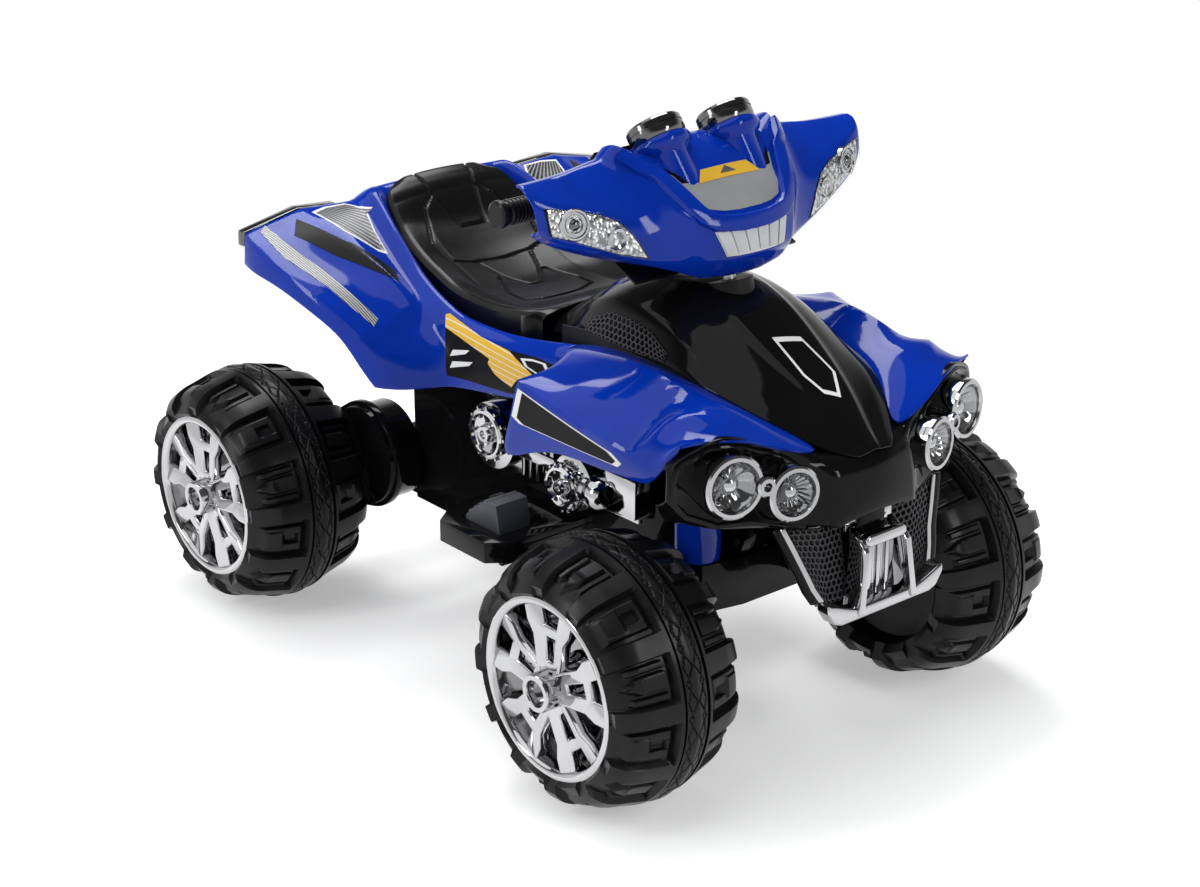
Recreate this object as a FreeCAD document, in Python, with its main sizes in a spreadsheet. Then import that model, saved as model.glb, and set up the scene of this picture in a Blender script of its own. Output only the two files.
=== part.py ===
import FreeCAD, Part
import Sketcher
import math
import os
import re

V = FreeCAD.Vector

# Driving dimensions in millimetres and degrees: name, value, meaning
SIZES = [
    ("tyre_diameter", 300, "outer diameter over the tread band"),
    ("tyre_width", 168, "width over the side walls"),
    ("wall_share", 0.091, "wall of the blow-moulded wheel, share of the section height"),
    ("tread_band", 28, "width of the raised centre band"),
    ("lug_share", 0.164, "height of the tread bars, share of the section height"),
    ("lug_width", 26, "width of a main tread bar"),
    ("lug_count", 12, "main tread bars on each half"),
    ("minor_lug_width", 22, "width of the bar between two main bars"),
    ("rim_diameter", 190, "dish that the wheel cover sits in"),
    ("dish_floor", 28, "dish floor, outboard of the wheel's middle"),
    ("hub_diameter", 32, "wheel hub sleeve"),
    ("hub_reach", 46, "hub sleeve, outboard of the wheel's middle"),
    ("hub_inset", 60, "hub sleeve, inboard of the wheel's middle"),
    ("cover_wall", 3, "wall of the chrome wheel cover"),
    ("spoke_count", 5, "spokes of the wheel cover"),
    ("spoke_level", 60, "back of the spokes, outboard of the middle"),
    ("spoke_depth", 15, "depth of the spokes"),
    ("hub_cap_diameter", 36, "centre cap"),
    ("hub_cap_reach", 100, "centre cap, outboard of the wheel's middle"),
    ("axle_diameter", 12, "axle rod and stub axles"),
    ("nut_flats", 18, "axle nut across flats"),
    ("nut_height", 9, "axle nut"),
    ("running_clearance", 0.1, "radial clearance of a turning shaft"),
    ("seat_gap", 0.3, "gap between fixed pieces that seat on each other"),
    ("wheelbase", 672, "front axle to rear axle"),
    ("track", 481.5, "between the wheels' middles"),
    ("bumper_overhang", 178, "bumper front, ahead of the front axle"),
    ("kingpin_inset", 32, "kingpin axis to the tyre's inner face"),
    ("kingpin_lead", 15, "kingpin axis, ahead of the front axle"),
    ("kingpin_diameter", 12, "kingpin"),
    ("column_diameter", 50, "kingpin column"),
    ("steer_arm", 42, "knuckle arm and drop arm"),
    ("steer_pin", 8, "ball pin diameter on the steering arms"),
    ("pin_slot_clearance", 1.2, "radial play of the open pivot at the drop arm"),
    ("tie_rod_height", 12, "tie rod above the axle"),
    ("tie_rod_diameter", 9, "tie rod"),
    ("rake", 15, "lean of the steering shaft, degrees"),
    ("shaft_diameter", 16, "steering shaft"),
    ("bush_diameter", 28, "steering bush"),
    ("beam_bottom", 45, "front beam underside above the axle"),
    ("beam_depth", 55, "front beam height"),
    ("beam_rear", 18, "front beam, behind the front axle"),
    ("beam_front", 50, "front beam, ahead of the front axle"),
    ("tub_bottom", -15, "tub floor underside above the axle"),
    ("tub_depth", 195, "tub side wall height"),
    ("tub_half_width", 100, "tub at the engine covers"),
    ("tub_wall", 4, "tub walls and floor"),
    ("board_level", 72, "footboard top above the axle"),
    ("board_thickness", 25, "footboard"),
    ("board_reach", 240, "footboard outer edge from the middle"),
    ("board_length", 122, "footboard along the vehicle"),
    ("board_clearance", 38, "footboard to the tyre"),
    ("pedal_length", 64, "pedal"),
    ("pedal_width", 44, "pedal"),
    ("pedal_height", 30, "pedal above the footboard"),
    ("pedal_margin", 4, "pedal recess around the pedal"),
    ("pedal_pin", 8, "pedal trunnion diameter"),
    ("gearbox_inner", 102, "gearbox inner face from the middle"),
    ("gearbox_clearance", 6, "gearbox to the tyre"),
    ("motor_diameter", 44, "motor can"),
    ("motor_length", 58, "motor can"),
    ("battery_length", 150, "battery"),
    ("battery_width", 94, "battery"),
    ("battery_height", 96, "battery"),
    ("socket_bore", 5.5, "charging socket"),
    ("socket_depth", 9, "charging socket"),
    ("shell_wall", 3, "wall of the moulded shells"),
    ("deck_height", 226, "seat deck above the axle"),
    ("seat_gap_deck", 0.6, "seat above its deck"),
    ("channel_width", 4, "channels round the seat's pads"),
    ("channel_depth", 3, "channels round the seat's pads"),
    ("bar_diameter", 22, "handlebar tube"),
    ("bar_height", 458, "handlebar tube above the axle"),
    ("bar_half_length", 243, "handlebar tube end from the middle"),
    ("grip_diameter", 33, "grip"),
    ("grip_length", 112, "grip"),
    ("cap_diameter", 68, "intake caps"),
    ("cap_rise", 26, "stub tube under an intake cap"),
    ("button_diameter", 18, "start and horn buttons"),
    ("button_clearance", 0.5, "gap around a button"),
    ("button_travel", 3, "push of a button"),
    ("mesh_cell", 11, "pitch of the grille's hexagons"),
    ("mesh_bar", 2.2, "bar width of the grille"),
    ("mesh_thickness", 3, "plate of the grille"),
]

doc = FreeCAD.newDocument("QuadBike")
sheet = doc.addObject("Spreadsheet::Sheet", "Sizes")
for row, (alias, value, meaning) in enumerate(SIZES, start=1):
    sheet.set("A%d" % row, str(value))
    sheet.setAlias("A%d" % row, alias)
    sheet.set("B%d" % row, meaning)
doc.recompute()
NAMES = [alias for alias, value, meaning in SIZES]

# Places that follow from the driving dimensions
FRONT_X = "((wheelbase + tyre_diameter / 2 - bumper_overhang) / 2)"
REAR_X = "(%s - wheelbase)" % FRONT_X
AXLE_Z = "(tyre_diameter / 2)"
KINGPIN_Y = "(track / 2 - tyre_width / 2 - kingpin_inset)"
KINGPIN_X = "(%s + kingpin_lead)" % FRONT_X
ARM_X = "(%s - steer_arm)" % KINGPIN_X
TIE_Z = "(%s + tie_rod_height)" % AXLE_Z
SECTION = "((tyre_diameter - rim_diameter) / 2)"
LUG = "(lug_share * %s)" % SECTION
TYRE_WALL = "(wall_share * %s)" % SECTION

SUB_PARTS = []


def expression(text):
    """Point each size named in the text at its spreadsheet cell."""
    return re.sub(r"[a-z_]+", lambda w: "Sizes." + w.group() if w.group() in NAMES else w.group(), text)


def size(text):
    """Value of an expression of sizes, for shapes that are set in code."""
    return float(sheet.evalExpression(expression(text)))


def bind(obj, **properties):
    """Bind properties of an object to expressions of sizes."""
    for name, text in properties.items():
        obj.setExpression(name, expression(str(text)))
    return obj


def place(obj, x="0", y="0", z="0", turn=None):
    """Bind an object's position, with a fixed turn given as axis and angle."""
    if turn is not None:
        obj.Placement = FreeCAD.Placement(V(0, 0, 0), FreeCAD.Rotation(V(*turn[0]), turn[1]))
    for axis, text in (("x", x), ("y", y), ("z", z)):
        obj.setExpression("Placement.Base." + axis, expression(str(text)))
    return obj


def sub_part(obj, label):
    """Name an object and list it for export."""
    obj.Label = label
    SUB_PARTS.append(obj)
    return obj


def box(length, width, height, x, y, z):
    obj = doc.addObject("Part::Box", "Block")
    bind(obj, Length=length, Width=width, Height=height)
    return place(obj, x, y, z)


def cylinder(diameter, height, x, y, z, turn=None):
    obj = doc.addObject("Part::Cylinder", "Round")
    bind(obj, Radius="(%s) / 2" % diameter, Height=height)
    return place(obj, x, y, z, turn)


def cut(base, tool):
    obj = doc.addObject("Part::Cut", "Cut")
    obj.Base = base
    obj.Tool = tool
    return obj


def fuse(*shapes):
    obj = doc.addObject("Part::MultiFuse", "Fusion")
    obj.Shapes = list(shapes)
    obj.Refine = True
    return obj


def feature(shape):
    obj = doc.addObject("Part::Feature", "Form")
    obj.Shape = shape
    return obj


ALONG_Y = ((1, 0, 0), -90)
AGAINST_Y = ((1, 0, 0), 90)
AGAINST_X = ((0, 1, 0), -90)
SIDES = (("right", -1), ("left", 1))


# Sketches

def new_body(name):
    return doc.addObject("PartDesign::Body", name)


def new_sketch(body, plane, level="0"):
    sketch = body.newObject("Sketcher::SketchObject", "Sketch")
    sketch.AttachmentSupport = [(origin_plane(body, plane), "")]
    sketch.MapMode = "FlatFace"
    sketch.setExpression("AttachmentOffset.Base.z", expression(level))
    return sketch


def origin_plane(body, role):
    return [item for item in body.Origin.OriginFeatures if item.Role == role][0]


def fix_point(sketch, geometry, end, x, y):
    """Hold a sketch point at a place given by two expressions."""
    for kind, text in (("DistanceX", x), ("DistanceY", y)):
        value = size(str(text))
        index = sketch.addConstraint(Sketcher.Constraint(kind, -1, 1, geometry, end, value))
        sketch.setExpression("Constraints[%d]" % index, expression(str(text)))


def outline(sketch, points):
    """Closed outline of straight edges through bound corner points."""
    corners = [V(size(str(x)), size(str(y)), 0) for x, y in points]
    first = sketch.GeometryCount
    count = len(points)
    for index in range(count):
        line = Part.LineSegment(corners[index], corners[(index + 1) % count])
        sketch.addGeometry(line, False)
    for index in range(count):
        following = first + (index + 1) % count
        sketch.addConstraint(Sketcher.Constraint("Coincident", first + index, 2, following, 1))
        fix_point(sketch, first + index, 1, *points[index])


def ring(sketch, x, y, diameter):
    """Circle with a bound centre and diameter."""
    index = sketch.addGeometry(Part.Circle(V(size(x), size(y), 0), V(0, 0, 1), size(diameter) / 2), False)
    fix_point(sketch, index, 3, x, y)
    number = sketch.addConstraint(Sketcher.Constraint("Diameter", index, size(diameter)))
    sketch.setExpression("Constraints[%d]" % number, expression(diameter))


def pad(body, sketch, length, midplane=False):
    feature_pad = body.newObject("PartDesign::Pad", "Pad")
    feature_pad.Profile = sketch
    feature_pad.SideType = "Symmetric" if midplane else "One side"
    bind(feature_pad, Length=length)
    return feature_pad


def pocket(body, sketch, length, reverse=False):
    feature_cut = body.newObject("PartDesign::Pocket", "Pocket")
    feature_cut.Profile = sketch
    feature_cut.Reversed = reverse
    bind(feature_cut, Length=length)
    return feature_cut


def revolve(body, sketch):
    turned = body.newObject("PartDesign::Revolution", "Revolution")
    turned.Profile = sketch
    turned.ReferenceAxis = (sketch, ["V_Axis"])
    turned.Angle = 360
    return turned


def polar(body, item, count):
    pattern = body.newObject("PartDesign::PolarPattern", "PolarPattern")
    pattern.Originals = [item]
    pattern.Axis = (origin_plane(body, "Z_Axis"), [""])
    pattern.Angle = 360
    bind(pattern, Occurrences=count)
    body.Tip = pattern
    return pattern


# Moulded shells: rows of points along the vehicle, feature lines across

def spline(points):
    curve = Part.BSplineCurve()
    curve.interpolate(points)
    return curve.toShape()


def normals(rows):
    """Outward direction at each point of a grid of rows."""
    last_row, last_column = len(rows) - 1, len(rows[0]) - 1
    result = []
    for i, row in enumerate(rows):
        line = []
        for j in range(len(row)):
            along = rows[min(i + 1, last_row)][j] - rows[max(i - 1, 0)][j]
            across = row[min(j + 1, last_column)] - row[max(j - 1, 0)]
            line.append(along.cross(across).normalize())
        result.append(line)
    return result


def shifted(rows, distance):
    return [[p + n * distance for p, n in zip(row, line)] for row, line in zip(rows, normals(rows))]


def strip(first, second):
    """Ruled face between two feature lines."""
    return Part.makeLoft([Part.Wire(first), Part.Wire(second)], False, True).Faces[0]


def panel(rows, wall, lift=0.0):
    """Solid sheet of even wall under a grid: ruled strips between spline feature lines."""
    upper = shifted(rows, lift) if lift else rows
    lower = shifted(rows, lift - wall)
    lines = [spline(list(line)) for line in zip(*upper)]
    lines += [spline(list(line)) for line in zip(*lower)][::-1]
    faces = [strip(a, b) for a, b in zip(lines, lines[1:] + lines[:1])]
    for top, bottom in ((upper[0], lower[0]), (upper[-1], lower[-1])):
        for k in range(len(top) - 1):
            edges = Part.makeLine(top[k], top[k + 1]), Part.makeLine(bottom[k], bottom[k + 1])
            faces.append(strip(*edges))
    return solid_of(faces)


def block(rows_of_rings):
    """Solid through closed rings of points, with flat ends."""
    lines = [spline(list(line)) for line in zip(*rows_of_rings)]
    faces = [strip(a, b) for a, b in zip(lines, lines[1:] + lines[:1])]
    for ring_points in (rows_of_rings[0], rows_of_rings[-1]):
        faces.append(Part.Face(Part.makePolygon(ring_points + ring_points[:1])))
    return solid_of(faces)


def solid_of(faces):
    shell = Part.makeShell(faces)
    shell.sewShape()
    solid = Part.Solid(Part.Shell(shell.Faces))
    if solid.Volume < 0:
        solid.reverse()
    return solid


def mirrored_row(half):
    """Full row from its half at positive Y, middle point first."""
    return [V(p.x, -p.y, p.z) for p in half[:0:-1]] + half


def largest(shape):
    return max(shape.Solids, key=lambda solid: solid.Volume)


def underside(x, y, radius, *shells):
    """Lowest level of the shells above a round footing."""
    probe = Part.makeCylinder(radius, 2000, V(x, y, size(AXLE_Z)))
    hits = [shell.common(probe) for shell in shells]
    return min(hit.optimalBoundingBox(False, False).ZMin for hit in hits if hit.Faces)


# Wheels: drawn about Z with the outboard side up, then turned into place

# Crowned tread: share of the half width, share of the height from tread to rim
CROWN = ((0.24, 0.06), (0.48, 0.18), (0.65, 0.25), (0.77, 0.345), (0.89, 0.5))
BEAD = (1.0, 0.78)


def tread_point(shares, sink="0", inset="0"):
    """Radius and width on the crowned tread, sunk below its surface."""
    across, drop = shares
    radius = "(tyre_diameter / 2 - %g * %s - %s)" % (drop, SECTION, sink)
    return radius, "(%g * tyre_width / 2 - %s)" % (across, inset)


def facing(points):
    """The same points on the other half of the wheel, in reverse."""
    return [(radius, "-" + width) for radius, width in reversed(points)]


def tyre_body():
    """Blow-moulded tyre and disc with a raised band and two rows of bars."""
    body = new_body("TyreMaster")
    side = "(tyre_width / 2)"
    dish = "(rim_diameter / 2)"
    bore = "(axle_diameter / 2 + running_clearance)"
    hub = "(hub_diameter / 2)"
    shoulder = "3"
    inner = "(%s + %s)" % (dish, TYRE_WALL)
    floor_back = "dish_floor - " + TYRE_WALL
    depth = "%s - %s" % (LUG, TYRE_WALL)
    carcass = [("(tyre_diameter / 2)", "(tread_band / 2)")]
    carcass += [tread_point(shares, LUG) for shares in CROWN[:4]]
    carcass += [tread_point(CROWN[4], LUG, shoulder), tread_point(BEAD, shoulder), (dish, side)]
    lining = [tread_point(shares, depth) for shares in (CROWN[0], CROWN[2])]
    lining.append(tread_point(CROWN[4], depth, "%s - %s" % (shoulder, TYRE_WALL)))
    lining.append((inner, "(%s - %s)" % (side, TYRE_WALL)))
    profile = new_sketch(body, "XZ_Plane")
    hollow = [(hub, floor_back), (inner, floor_back)] + lining[::-1] + facing(lining[::-1])[:-1]
    face = [(dish, "dish_floor"), (hub, "dish_floor"), (hub, "hub_reach"), (bore, "hub_reach")]
    outline(profile, [(bore, "-hub_inset"), (hub, "-hub_inset")] + hollow + facing(carcass) + carcass + face)
    revolve(body, profile)
    bars(body, "lug_width", [tread_point(shares) for shares in CROWN], 0)
    bars(body, "minor_lug_width", [tread_point(shares, LUG + " / 3") for shares in CROWN[1:4]], 0.5)
    return body


def bars(body, width, crest, pitch_share):
    """Ring of tread bars on both halves under a crest line, turned by a share of their pitch."""
    sketch = new_sketch(body, "XZ_Plane")
    turn = FreeCAD.Rotation(V(0, 1, 0), pitch_share * 360 / size("lug_count"))
    sketch.AttachmentOffset = FreeCAD.Placement(V(0, 0, 0), turn)
    foot = [("(%s - %s - 1)" % (radius, LUG), across) for radius, across in crest]
    foot[-1] = (foot[-1][0], "(%s - 5)" % foot[-1][1])
    outline(sketch, crest + foot[::-1])
    outline(sketch, facing(crest) + facing(foot[::-1]))
    bar = pad(body, sketch, width, midplane=True)
    polar(body, bar, "lug_count")


def cover_body():
    """Chrome wheel cover: lip, barrel, dish floor, hub tube and forked spokes."""
    body = new_body("CoverMaster")
    fit = "(rim_diameter / 2 - seat_gap)"
    side = "(tyre_width / 2)"
    floor_level = "(dish_floor + seat_gap)"
    tube = "(hub_cap_diameter / 2 + seat_gap)"
    profile = new_sketch(body, "XZ_Plane")
    outline(profile, [
        (tube, floor_level), (fit, floor_level), (fit, side + " + seat_gap"),
        ("rim_diameter / 2 + 6", side + " + seat_gap"), ("rim_diameter / 2 + 5", side + " + 3"),
        (fit + " - 8", side + " + 3"), (fit + " - 12", side + " - 4"),
        (fit + " - cover_wall", side + " - 8"), (fit + " - cover_wall", floor_level + " + cover_wall"),
        (tube + " + cover_wall + 3", floor_level + " + cover_wall"),
        (tube + " + cover_wall", "spoke_level + spoke_depth"), (tube, "spoke_level + spoke_depth"),
    ])
    revolve(body, profile)
    sketch = new_sketch(body, "XY_Plane", "spoke_level")
    reach = "(%s - 2)" % fit
    edge = [("(%s + 1)" % tube, "12"), ("0.36 * " + reach, "17"), ("0.53 * " + reach, "14"),
            ("0.68 * " + reach, "18"), (reach + " * cos(27)", reach + " * sin(27)"),
            (reach + " * cos(18)", reach + " * sin(18)"), ("0.84 * " + reach, "0.155 * " + reach),
            ("0.7 * " + reach, "0.07 * " + reach)]
    outline(sketch, edge + [("0.65 * " + reach, "0")] + [(r, "-" + t) for r, t in reversed(edge)])
    spoke = pad(body, sketch, "spoke_depth")
    polar(body, spoke, "spoke_count")
    return body


def hub_cap_body():
    """Chrome centre cap, hollow over the axle nut, with a slot across its end."""
    body = new_body("HubCapMaster")
    foot = "(dish_floor + seat_gap * 2)"
    collar = "(spoke_level + spoke_depth + seat_gap)"
    radius = "(hub_cap_diameter / 2)"
    profile = new_sketch(body, "XZ_Plane")
    outline(profile, [
        (radius + " - 1.6", foot), (radius, foot), (radius, collar), (radius + " + 4", collar),
        (radius + " + 4", collar + " + 3"), (radius, collar + " + 4"), (radius, "hub_cap_reach - 2"),
        (radius + " - 2", "hub_cap_reach"), ("0", "hub_cap_reach"), ("0", "hub_cap_reach - 6"),
        (radius + " - 4", "hub_cap_reach - 6"), (radius + " - 1.6", collar),
    ])
    revolve(body, profile)
    sketch = new_sketch(body, "XY_Plane", "hub_cap_reach")
    outline(sketch, [("-hub_cap_diameter / 3", "-2.5"), ("hub_cap_diameter / 3", "-2.5"),
                     ("hub_cap_diameter / 3", "2.5"), ("-hub_cap_diameter / 3", "2.5")])
    pocket(body, sketch, "3")
    return body


def wheels():
    masters = (("tyre", tyre_body()), ("wheel_cover", cover_body()), ("hub_cap", hub_cap_body()))
    doc.recompute()
    for end, x in (("front", FRONT_X), ("rear", REAR_X)):
        for side_name, sign in SIDES:
            turn = AGAINST_Y if sign < 0 else ALONG_Y
            for name, master in masters:
                copy = feature(master.Shape.copy())
                place(copy, x, "%d * track / 2" % sign, AXLE_Z, turn)
                sub_part(copy, "%s_%s_%s" % (name, end, side_name))


def axle_nut(x, sign):
    """Hexagon nut on an axle end, inside the hub cap."""
    start = "track / 2 + hub_reach + seat_gap"
    nut = doc.addObject("Part::Prism", "Nut")
    nut.Polygon = 6
    bind(nut, Circumradius="nut_flats / sqrt(3)", Height="nut_height")
    turn = ALONG_Y if sign > 0 else AGAINST_Y
    y = "%d * (%s)" % (sign, start)
    place(nut, x, y, AXLE_Z, turn)
    hole = cylinder("axle_diameter + running_clearance", "nut_height", x, y, AXLE_Z, turn)
    return cut(nut, hole)


def rear_axle():
    reach = "(track / 2 + hub_reach + nut_height + 4)"
    rod = cylinder("axle_diameter", "2 * " + reach, REAR_X, "-" + reach, AXLE_Z, ALONG_Y)
    sub_part(rod, "rear_axle")
    sub_part(fuse(axle_nut(REAR_X, -1), axle_nut(REAR_X, 1)), "rear_axle_nuts")


# Front suspension and steering

def beam_level(text):
    return "%s + beam_bottom + %s" % (AXLE_Z, text)


def front_beam():
    """Cross beam with narrowed ends, kingpin bores and the bore for the steering bush."""
    body = new_body("BeamBody")
    sketch = new_sketch(body, "XY_Plane")
    rear, front = FRONT_X + " - beam_rear", FRONT_X + " + beam_front"
    end, neck = KINGPIN_Y + " + 15", KINGPIN_Y + " - 36"
    outline(sketch, [
        (rear, "-(%s)" % neck), (KINGPIN_X + " - 24", "-(%s)" % end), (KINGPIN_X + " + 24", "-(%s)" % end),
        (front, "-(%s)" % neck), (front, neck), (KINGPIN_X + " + 24", end),
        (KINGPIN_X + " - 24", end), (rear, neck),
    ])
    for sign in ("-", ""):
        ring(sketch, KINGPIN_X, sign + KINGPIN_Y, "kingpin_diameter + running_clearance")
    pad(body, sketch, "beam_depth")
    place(body, "0", "0", beam_level("0"))
    bore = shaft_rod("bush_diameter + running_clearance", "-20", "150")
    sub_part(cut(body, bore), "front_beam")
    foot = "(beam_bottom - tie_rod_height - steer_arm * sin(rake)) / cos(rake)"
    bush = shaft_rod("bush_diameter", foot, "beam_depth + 8")
    hole = shaft_rod("shaft_diameter + 2 * running_clearance", "-20", "150")
    sub_part(cut(bush, hole), "steering_bush")


def shaft_rod(diameter, start, length):
    """Cylinder on the steering axis, from a distance along it."""
    x = "%s + steer_arm * cos(rake) - (%s) * sin(rake)" % (ARM_X, start)
    z = "%s + steer_arm * sin(rake) + (%s) * cos(rake)" % (TIE_Z, start)
    return cylinder(diameter, length, x, "0", z, ((0, 1, 0), -size("rake")))


def axis_point(distance):
    """Point on the steering axis, measured from the drop arm."""
    rake, arm = math.radians(size("rake")), size("steer_arm")
    foot = V(size(ARM_X) + arm * math.cos(rake), 0, size(TIE_Z) + arm * math.sin(rake))
    return foot + V(-math.sin(rake), 0, math.cos(rake)) * distance


def kingpins(*shells):
    """Fixed pins through the beam, and the columns that carry the front shell."""
    pins, columns = [], []
    low = AXLE_Z + " - 26"
    for side_name, sign in SIDES:
        y = "%d * %s" % (sign, KINGPIN_Y)
        shank = cylinder("kingpin_diameter", "beam_bottom + beam_depth + 24", KINGPIN_X, y, low)
        head = cylinder("kingpin_diameter + 8", "4", KINGPIN_X, y, low + " - 4")
        pins.append(fuse(shank, head))
        base = beam_level("beam_depth + seat_gap")
        top = underside(size(KINGPIN_X), size(y), size("column_diameter / 2"), *shells) - size("seat_gap")
        column = cylinder("column_diameter", str(top - size(base)), KINGPIN_X, y, base)
        hole = cylinder("kingpin_diameter + 2", "24", KINGPIN_X, y, beam_level("beam_depth"))
        columns.append(cut(column, hole))
    sub_part(fuse(*columns), "kingpin_columns")
    sub_part(fuse(*pins), "kingpins")


def knuckle(side_name, sign):
    """Block on the kingpin with the stub axle, and an arm to the tie rod."""
    y = "%d * %s" % (sign, KINGPIN_Y)
    outward = ALONG_Y if sign > 0 else AGAINST_Y
    base = AXLE_Z + " - 21"
    barrel = cylinder("34", "beam_bottom + 21 - seat_gap", KINGPIN_X, y, base)
    neck = "(kingpin_inset + tyre_width / 2 - hub_inset - seat_gap)"
    boss = cylinder("28", neck, FRONT_X, y, AXLE_Z, outward)
    stub_length = "(kingpin_inset + tyre_width / 2 + hub_reach + nut_height + 4)"
    stub = cylinder("axle_diameter", stub_length, FRONT_X, y, AXLE_Z, outward)
    arm = box("steer_arm", "16", "10", ARM_X, y + " - 8", TIE_Z + " - 16")
    eye = cylinder("16", "10", ARM_X, y, TIE_Z + " - 16")
    pin = cylinder("steer_pin", "22", ARM_X, y, TIE_Z + " - 14")
    bore = cylinder("kingpin_diameter + 2 * running_clearance", "200", KINGPIN_X, y, AXLE_Z + " - 60")
    sub_part(cut(fuse(barrel, boss, stub, arm, eye, pin), bore), "knuckle_" + side_name)
    sub_part(axle_nut(FRONT_X, sign), "front_axle_nut_" + side_name)


def tie_rod():
    """Rod with an eye on each knuckle arm and a wide eye for the drop arm's pin."""
    bottom = TIE_Z + " - 6 + seat_gap"
    parts = [cylinder("tie_rod_diameter", "2 * " + KINGPIN_Y, ARM_X, "-" + KINGPIN_Y, TIE_Z, ALONG_Y)]
    holes = []
    for y, play in (("-" + KINGPIN_Y, "running_clearance"), (KINGPIN_Y, "pin_slot_clearance / 2"),
                    ("0", "pin_slot_clearance")):
        parts.append(cylinder("steer_pin + 12", "12 - seat_gap", ARM_X, y, bottom))
        holes.append(cylinder("steer_pin + 2 * " + play, "40", ARM_X, y, TIE_Z + " - 20"))
    sub_part(cut(fuse(*parts), fuse(*holes)), "tie_rod")


# Handlebar tube behind the front axle
BAR_BEHIND = 168


def steering_shaft(fairing):
    """Shaft with the drop arm below and, above, the bar clamp and fairing bracket."""
    top = "(bar_height - tie_rod_height - steer_arm * sin(rake)) / cos(rake)"
    rod = shaft_rod("shaft_diameter", "9", top + " - 9")
    arm = feature(Part.makeBox(size("steer_arm") + 8, 16, 8, V(-size("steer_arm") - 8, -8, 0)))
    arm.Placement = FreeCAD.Placement(axis_point(11), FreeCAD.Rotation(V(0, 1, 0), -size("rake")))
    pin = cylinder("steer_pin", "20", ARM_X, "0", TIE_Z + " - 6")
    bar_x = head(-BAR_BEHIND, 0, 0).x
    clamp_front = axis_point(size(top)).x + 14
    bar_z = AXLE_Z + " + bar_height"
    clamp = box(str(clamp_front - bar_x + 14), "36", "28", str(bar_x - 14), "-18", bar_z + " - 14")
    level = size(bar_z) - 40
    ahead = fairing.common(Part.makeBox(400, 24, 8, V(clamp_front - 30, -12, level)))
    length = ahead.optimalBoundingBox(False, False).XMin - size("seat_gap") - clamp_front + 22
    bracket = box(str(length), "24", "8", str(clamp_front - 22), "-12", str(level))
    strut = box("8", "24", "32", str(clamp_front - 22), "-12", str(level))
    whole = fuse(rod, arm, pin, clamp, bracket, strut)
    bore = cylinder("bar_diameter + running_clearance", "60", str(bar_x), "-30", bar_z, ALONG_Y)
    sub_part(cut(whole, bore), "steering_shaft")
    tube = cylinder("bar_diameter", "2 * bar_half_length", str(bar_x), "-bar_half_length", bar_z, ALONG_Y)
    sub_part(tube, "handlebar")
    sub_part(fuse(*[grip(bar_x, sign) for side_name, sign in SIDES]), "grips")


def grip(bar_x, sign):
    """Rubber grip with a flange at each end, closed over the tube's end."""
    body = new_body("GripBody")
    radius = "(grip_diameter / 2)"
    inner = "(bar_diameter / 2 + running_clearance)"
    sketch = new_sketch(body, "XZ_Plane")
    outline(sketch, [
        (inner, "0"), (radius + " + 7", "0"), (radius + " + 7", "5"), (radius + " - 1", "8"),
        (radius, "grip_length / 2"), (radius + " - 1", "grip_length - 8"),
        (radius + " + 5", "grip_length - 5"), (radius + " + 4", "grip_length + 4"),
        ("0", "grip_length + 4"), ("0", "grip_length + seat_gap"), (inner, "grip_length + seat_gap"),
    ])
    revolve(body, sketch)
    turn = ALONG_Y if sign > 0 else AGAINST_Y
    return place(body, str(bar_x), "%d * (bar_half_length - grip_length)" % sign, AXLE_Z + " + bar_height", turn)


# Chassis and drive

# Sizes that the tables of the shells are drawn for, and stretch with
DRAWN = {"wheelbase": 672, "bumper_overhang": 178, "track": 481.5, "deck_height": 226, "bar_height": 458,
         "bar_half_length": 243}


def grown(name):
    return size(name) / DRAWN[name]


def front(offset):
    """Place along the vehicle, from its drawn distance ahead of the front axle."""
    return size(FRONT_X) + offset * grown("bumper_overhang" if offset > 0 else "wheelbase")


def rear(offset):
    """Place along the vehicle, from its drawn distance ahead of the rear axle."""
    return size(REAR_X) + offset * grown("wheelbase")


def out(width):
    return width * grown("track")


def up(height):
    """Level of a drawn height above the axles."""
    return size(AXLE_Z) + height * grown("deck_height")


def head(x, y, z):
    """Point of the handlebar fairing, which follows the handlebar."""
    lift = grown("bar_height")
    return V(size(FRONT_X) + x * lift, y * grown("bar_half_length"), size(AXLE_Z) + z * lift)


def tub_outline(inset):
    """Plan corners of the tub, drawn in by a wall."""
    wide, slim = "(tub_half_width - %s)" % inset, "(tub_half_width - 28 - %s)" % inset
    back, nose = REAR_X + " + 142 + " + inset, FRONT_X + " - beam_rear - seat_gap - " + inset
    half = [(back, wide), (FRONT_X + " - 120", wide), (FRONT_X + " - 62", slim), (nose, slim)]
    return half + [(x, "-" + y) for x, y in reversed(half)]


def chassis_tub(deck, tank):
    """Open tub with footboards, axle arms and the posts under the deck and the tank."""
    body = new_body("TubBody")
    sketch = new_sketch(body, "XY_Plane")
    outline(sketch, tub_outline("0"))
    pad(body, sketch, "tub_depth")
    hollow = new_sketch(body, "XY_Plane", "tub_depth")
    outline(hollow, tub_outline("tub_wall"))
    pocket(body, hollow, "tub_depth - tub_wall")
    floor_level = AXLE_Z + " + tub_bottom"
    place(body, "0", "0", floor_level)
    arms = [axle_arm(sign) for side_name, sign in SIDES]
    boards = [footboard(sign) for side_name, sign in SIDES]
    posts = []
    for side_name, sign in SIDES:
        posts += [post(deck, x, sign * size("tub_half_width - 20")) for x in (-345, -250)]
        posts.append(post(tank, -110, sign * out(45)))
    whole = fuse(body, *(arms + boards + posts))
    holes = fuse(axle_bore(), pedal_recess(), pedal_bore(), *steering_opening())
    return sub_part(cut(whole, holes), "chassis_tub")


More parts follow.
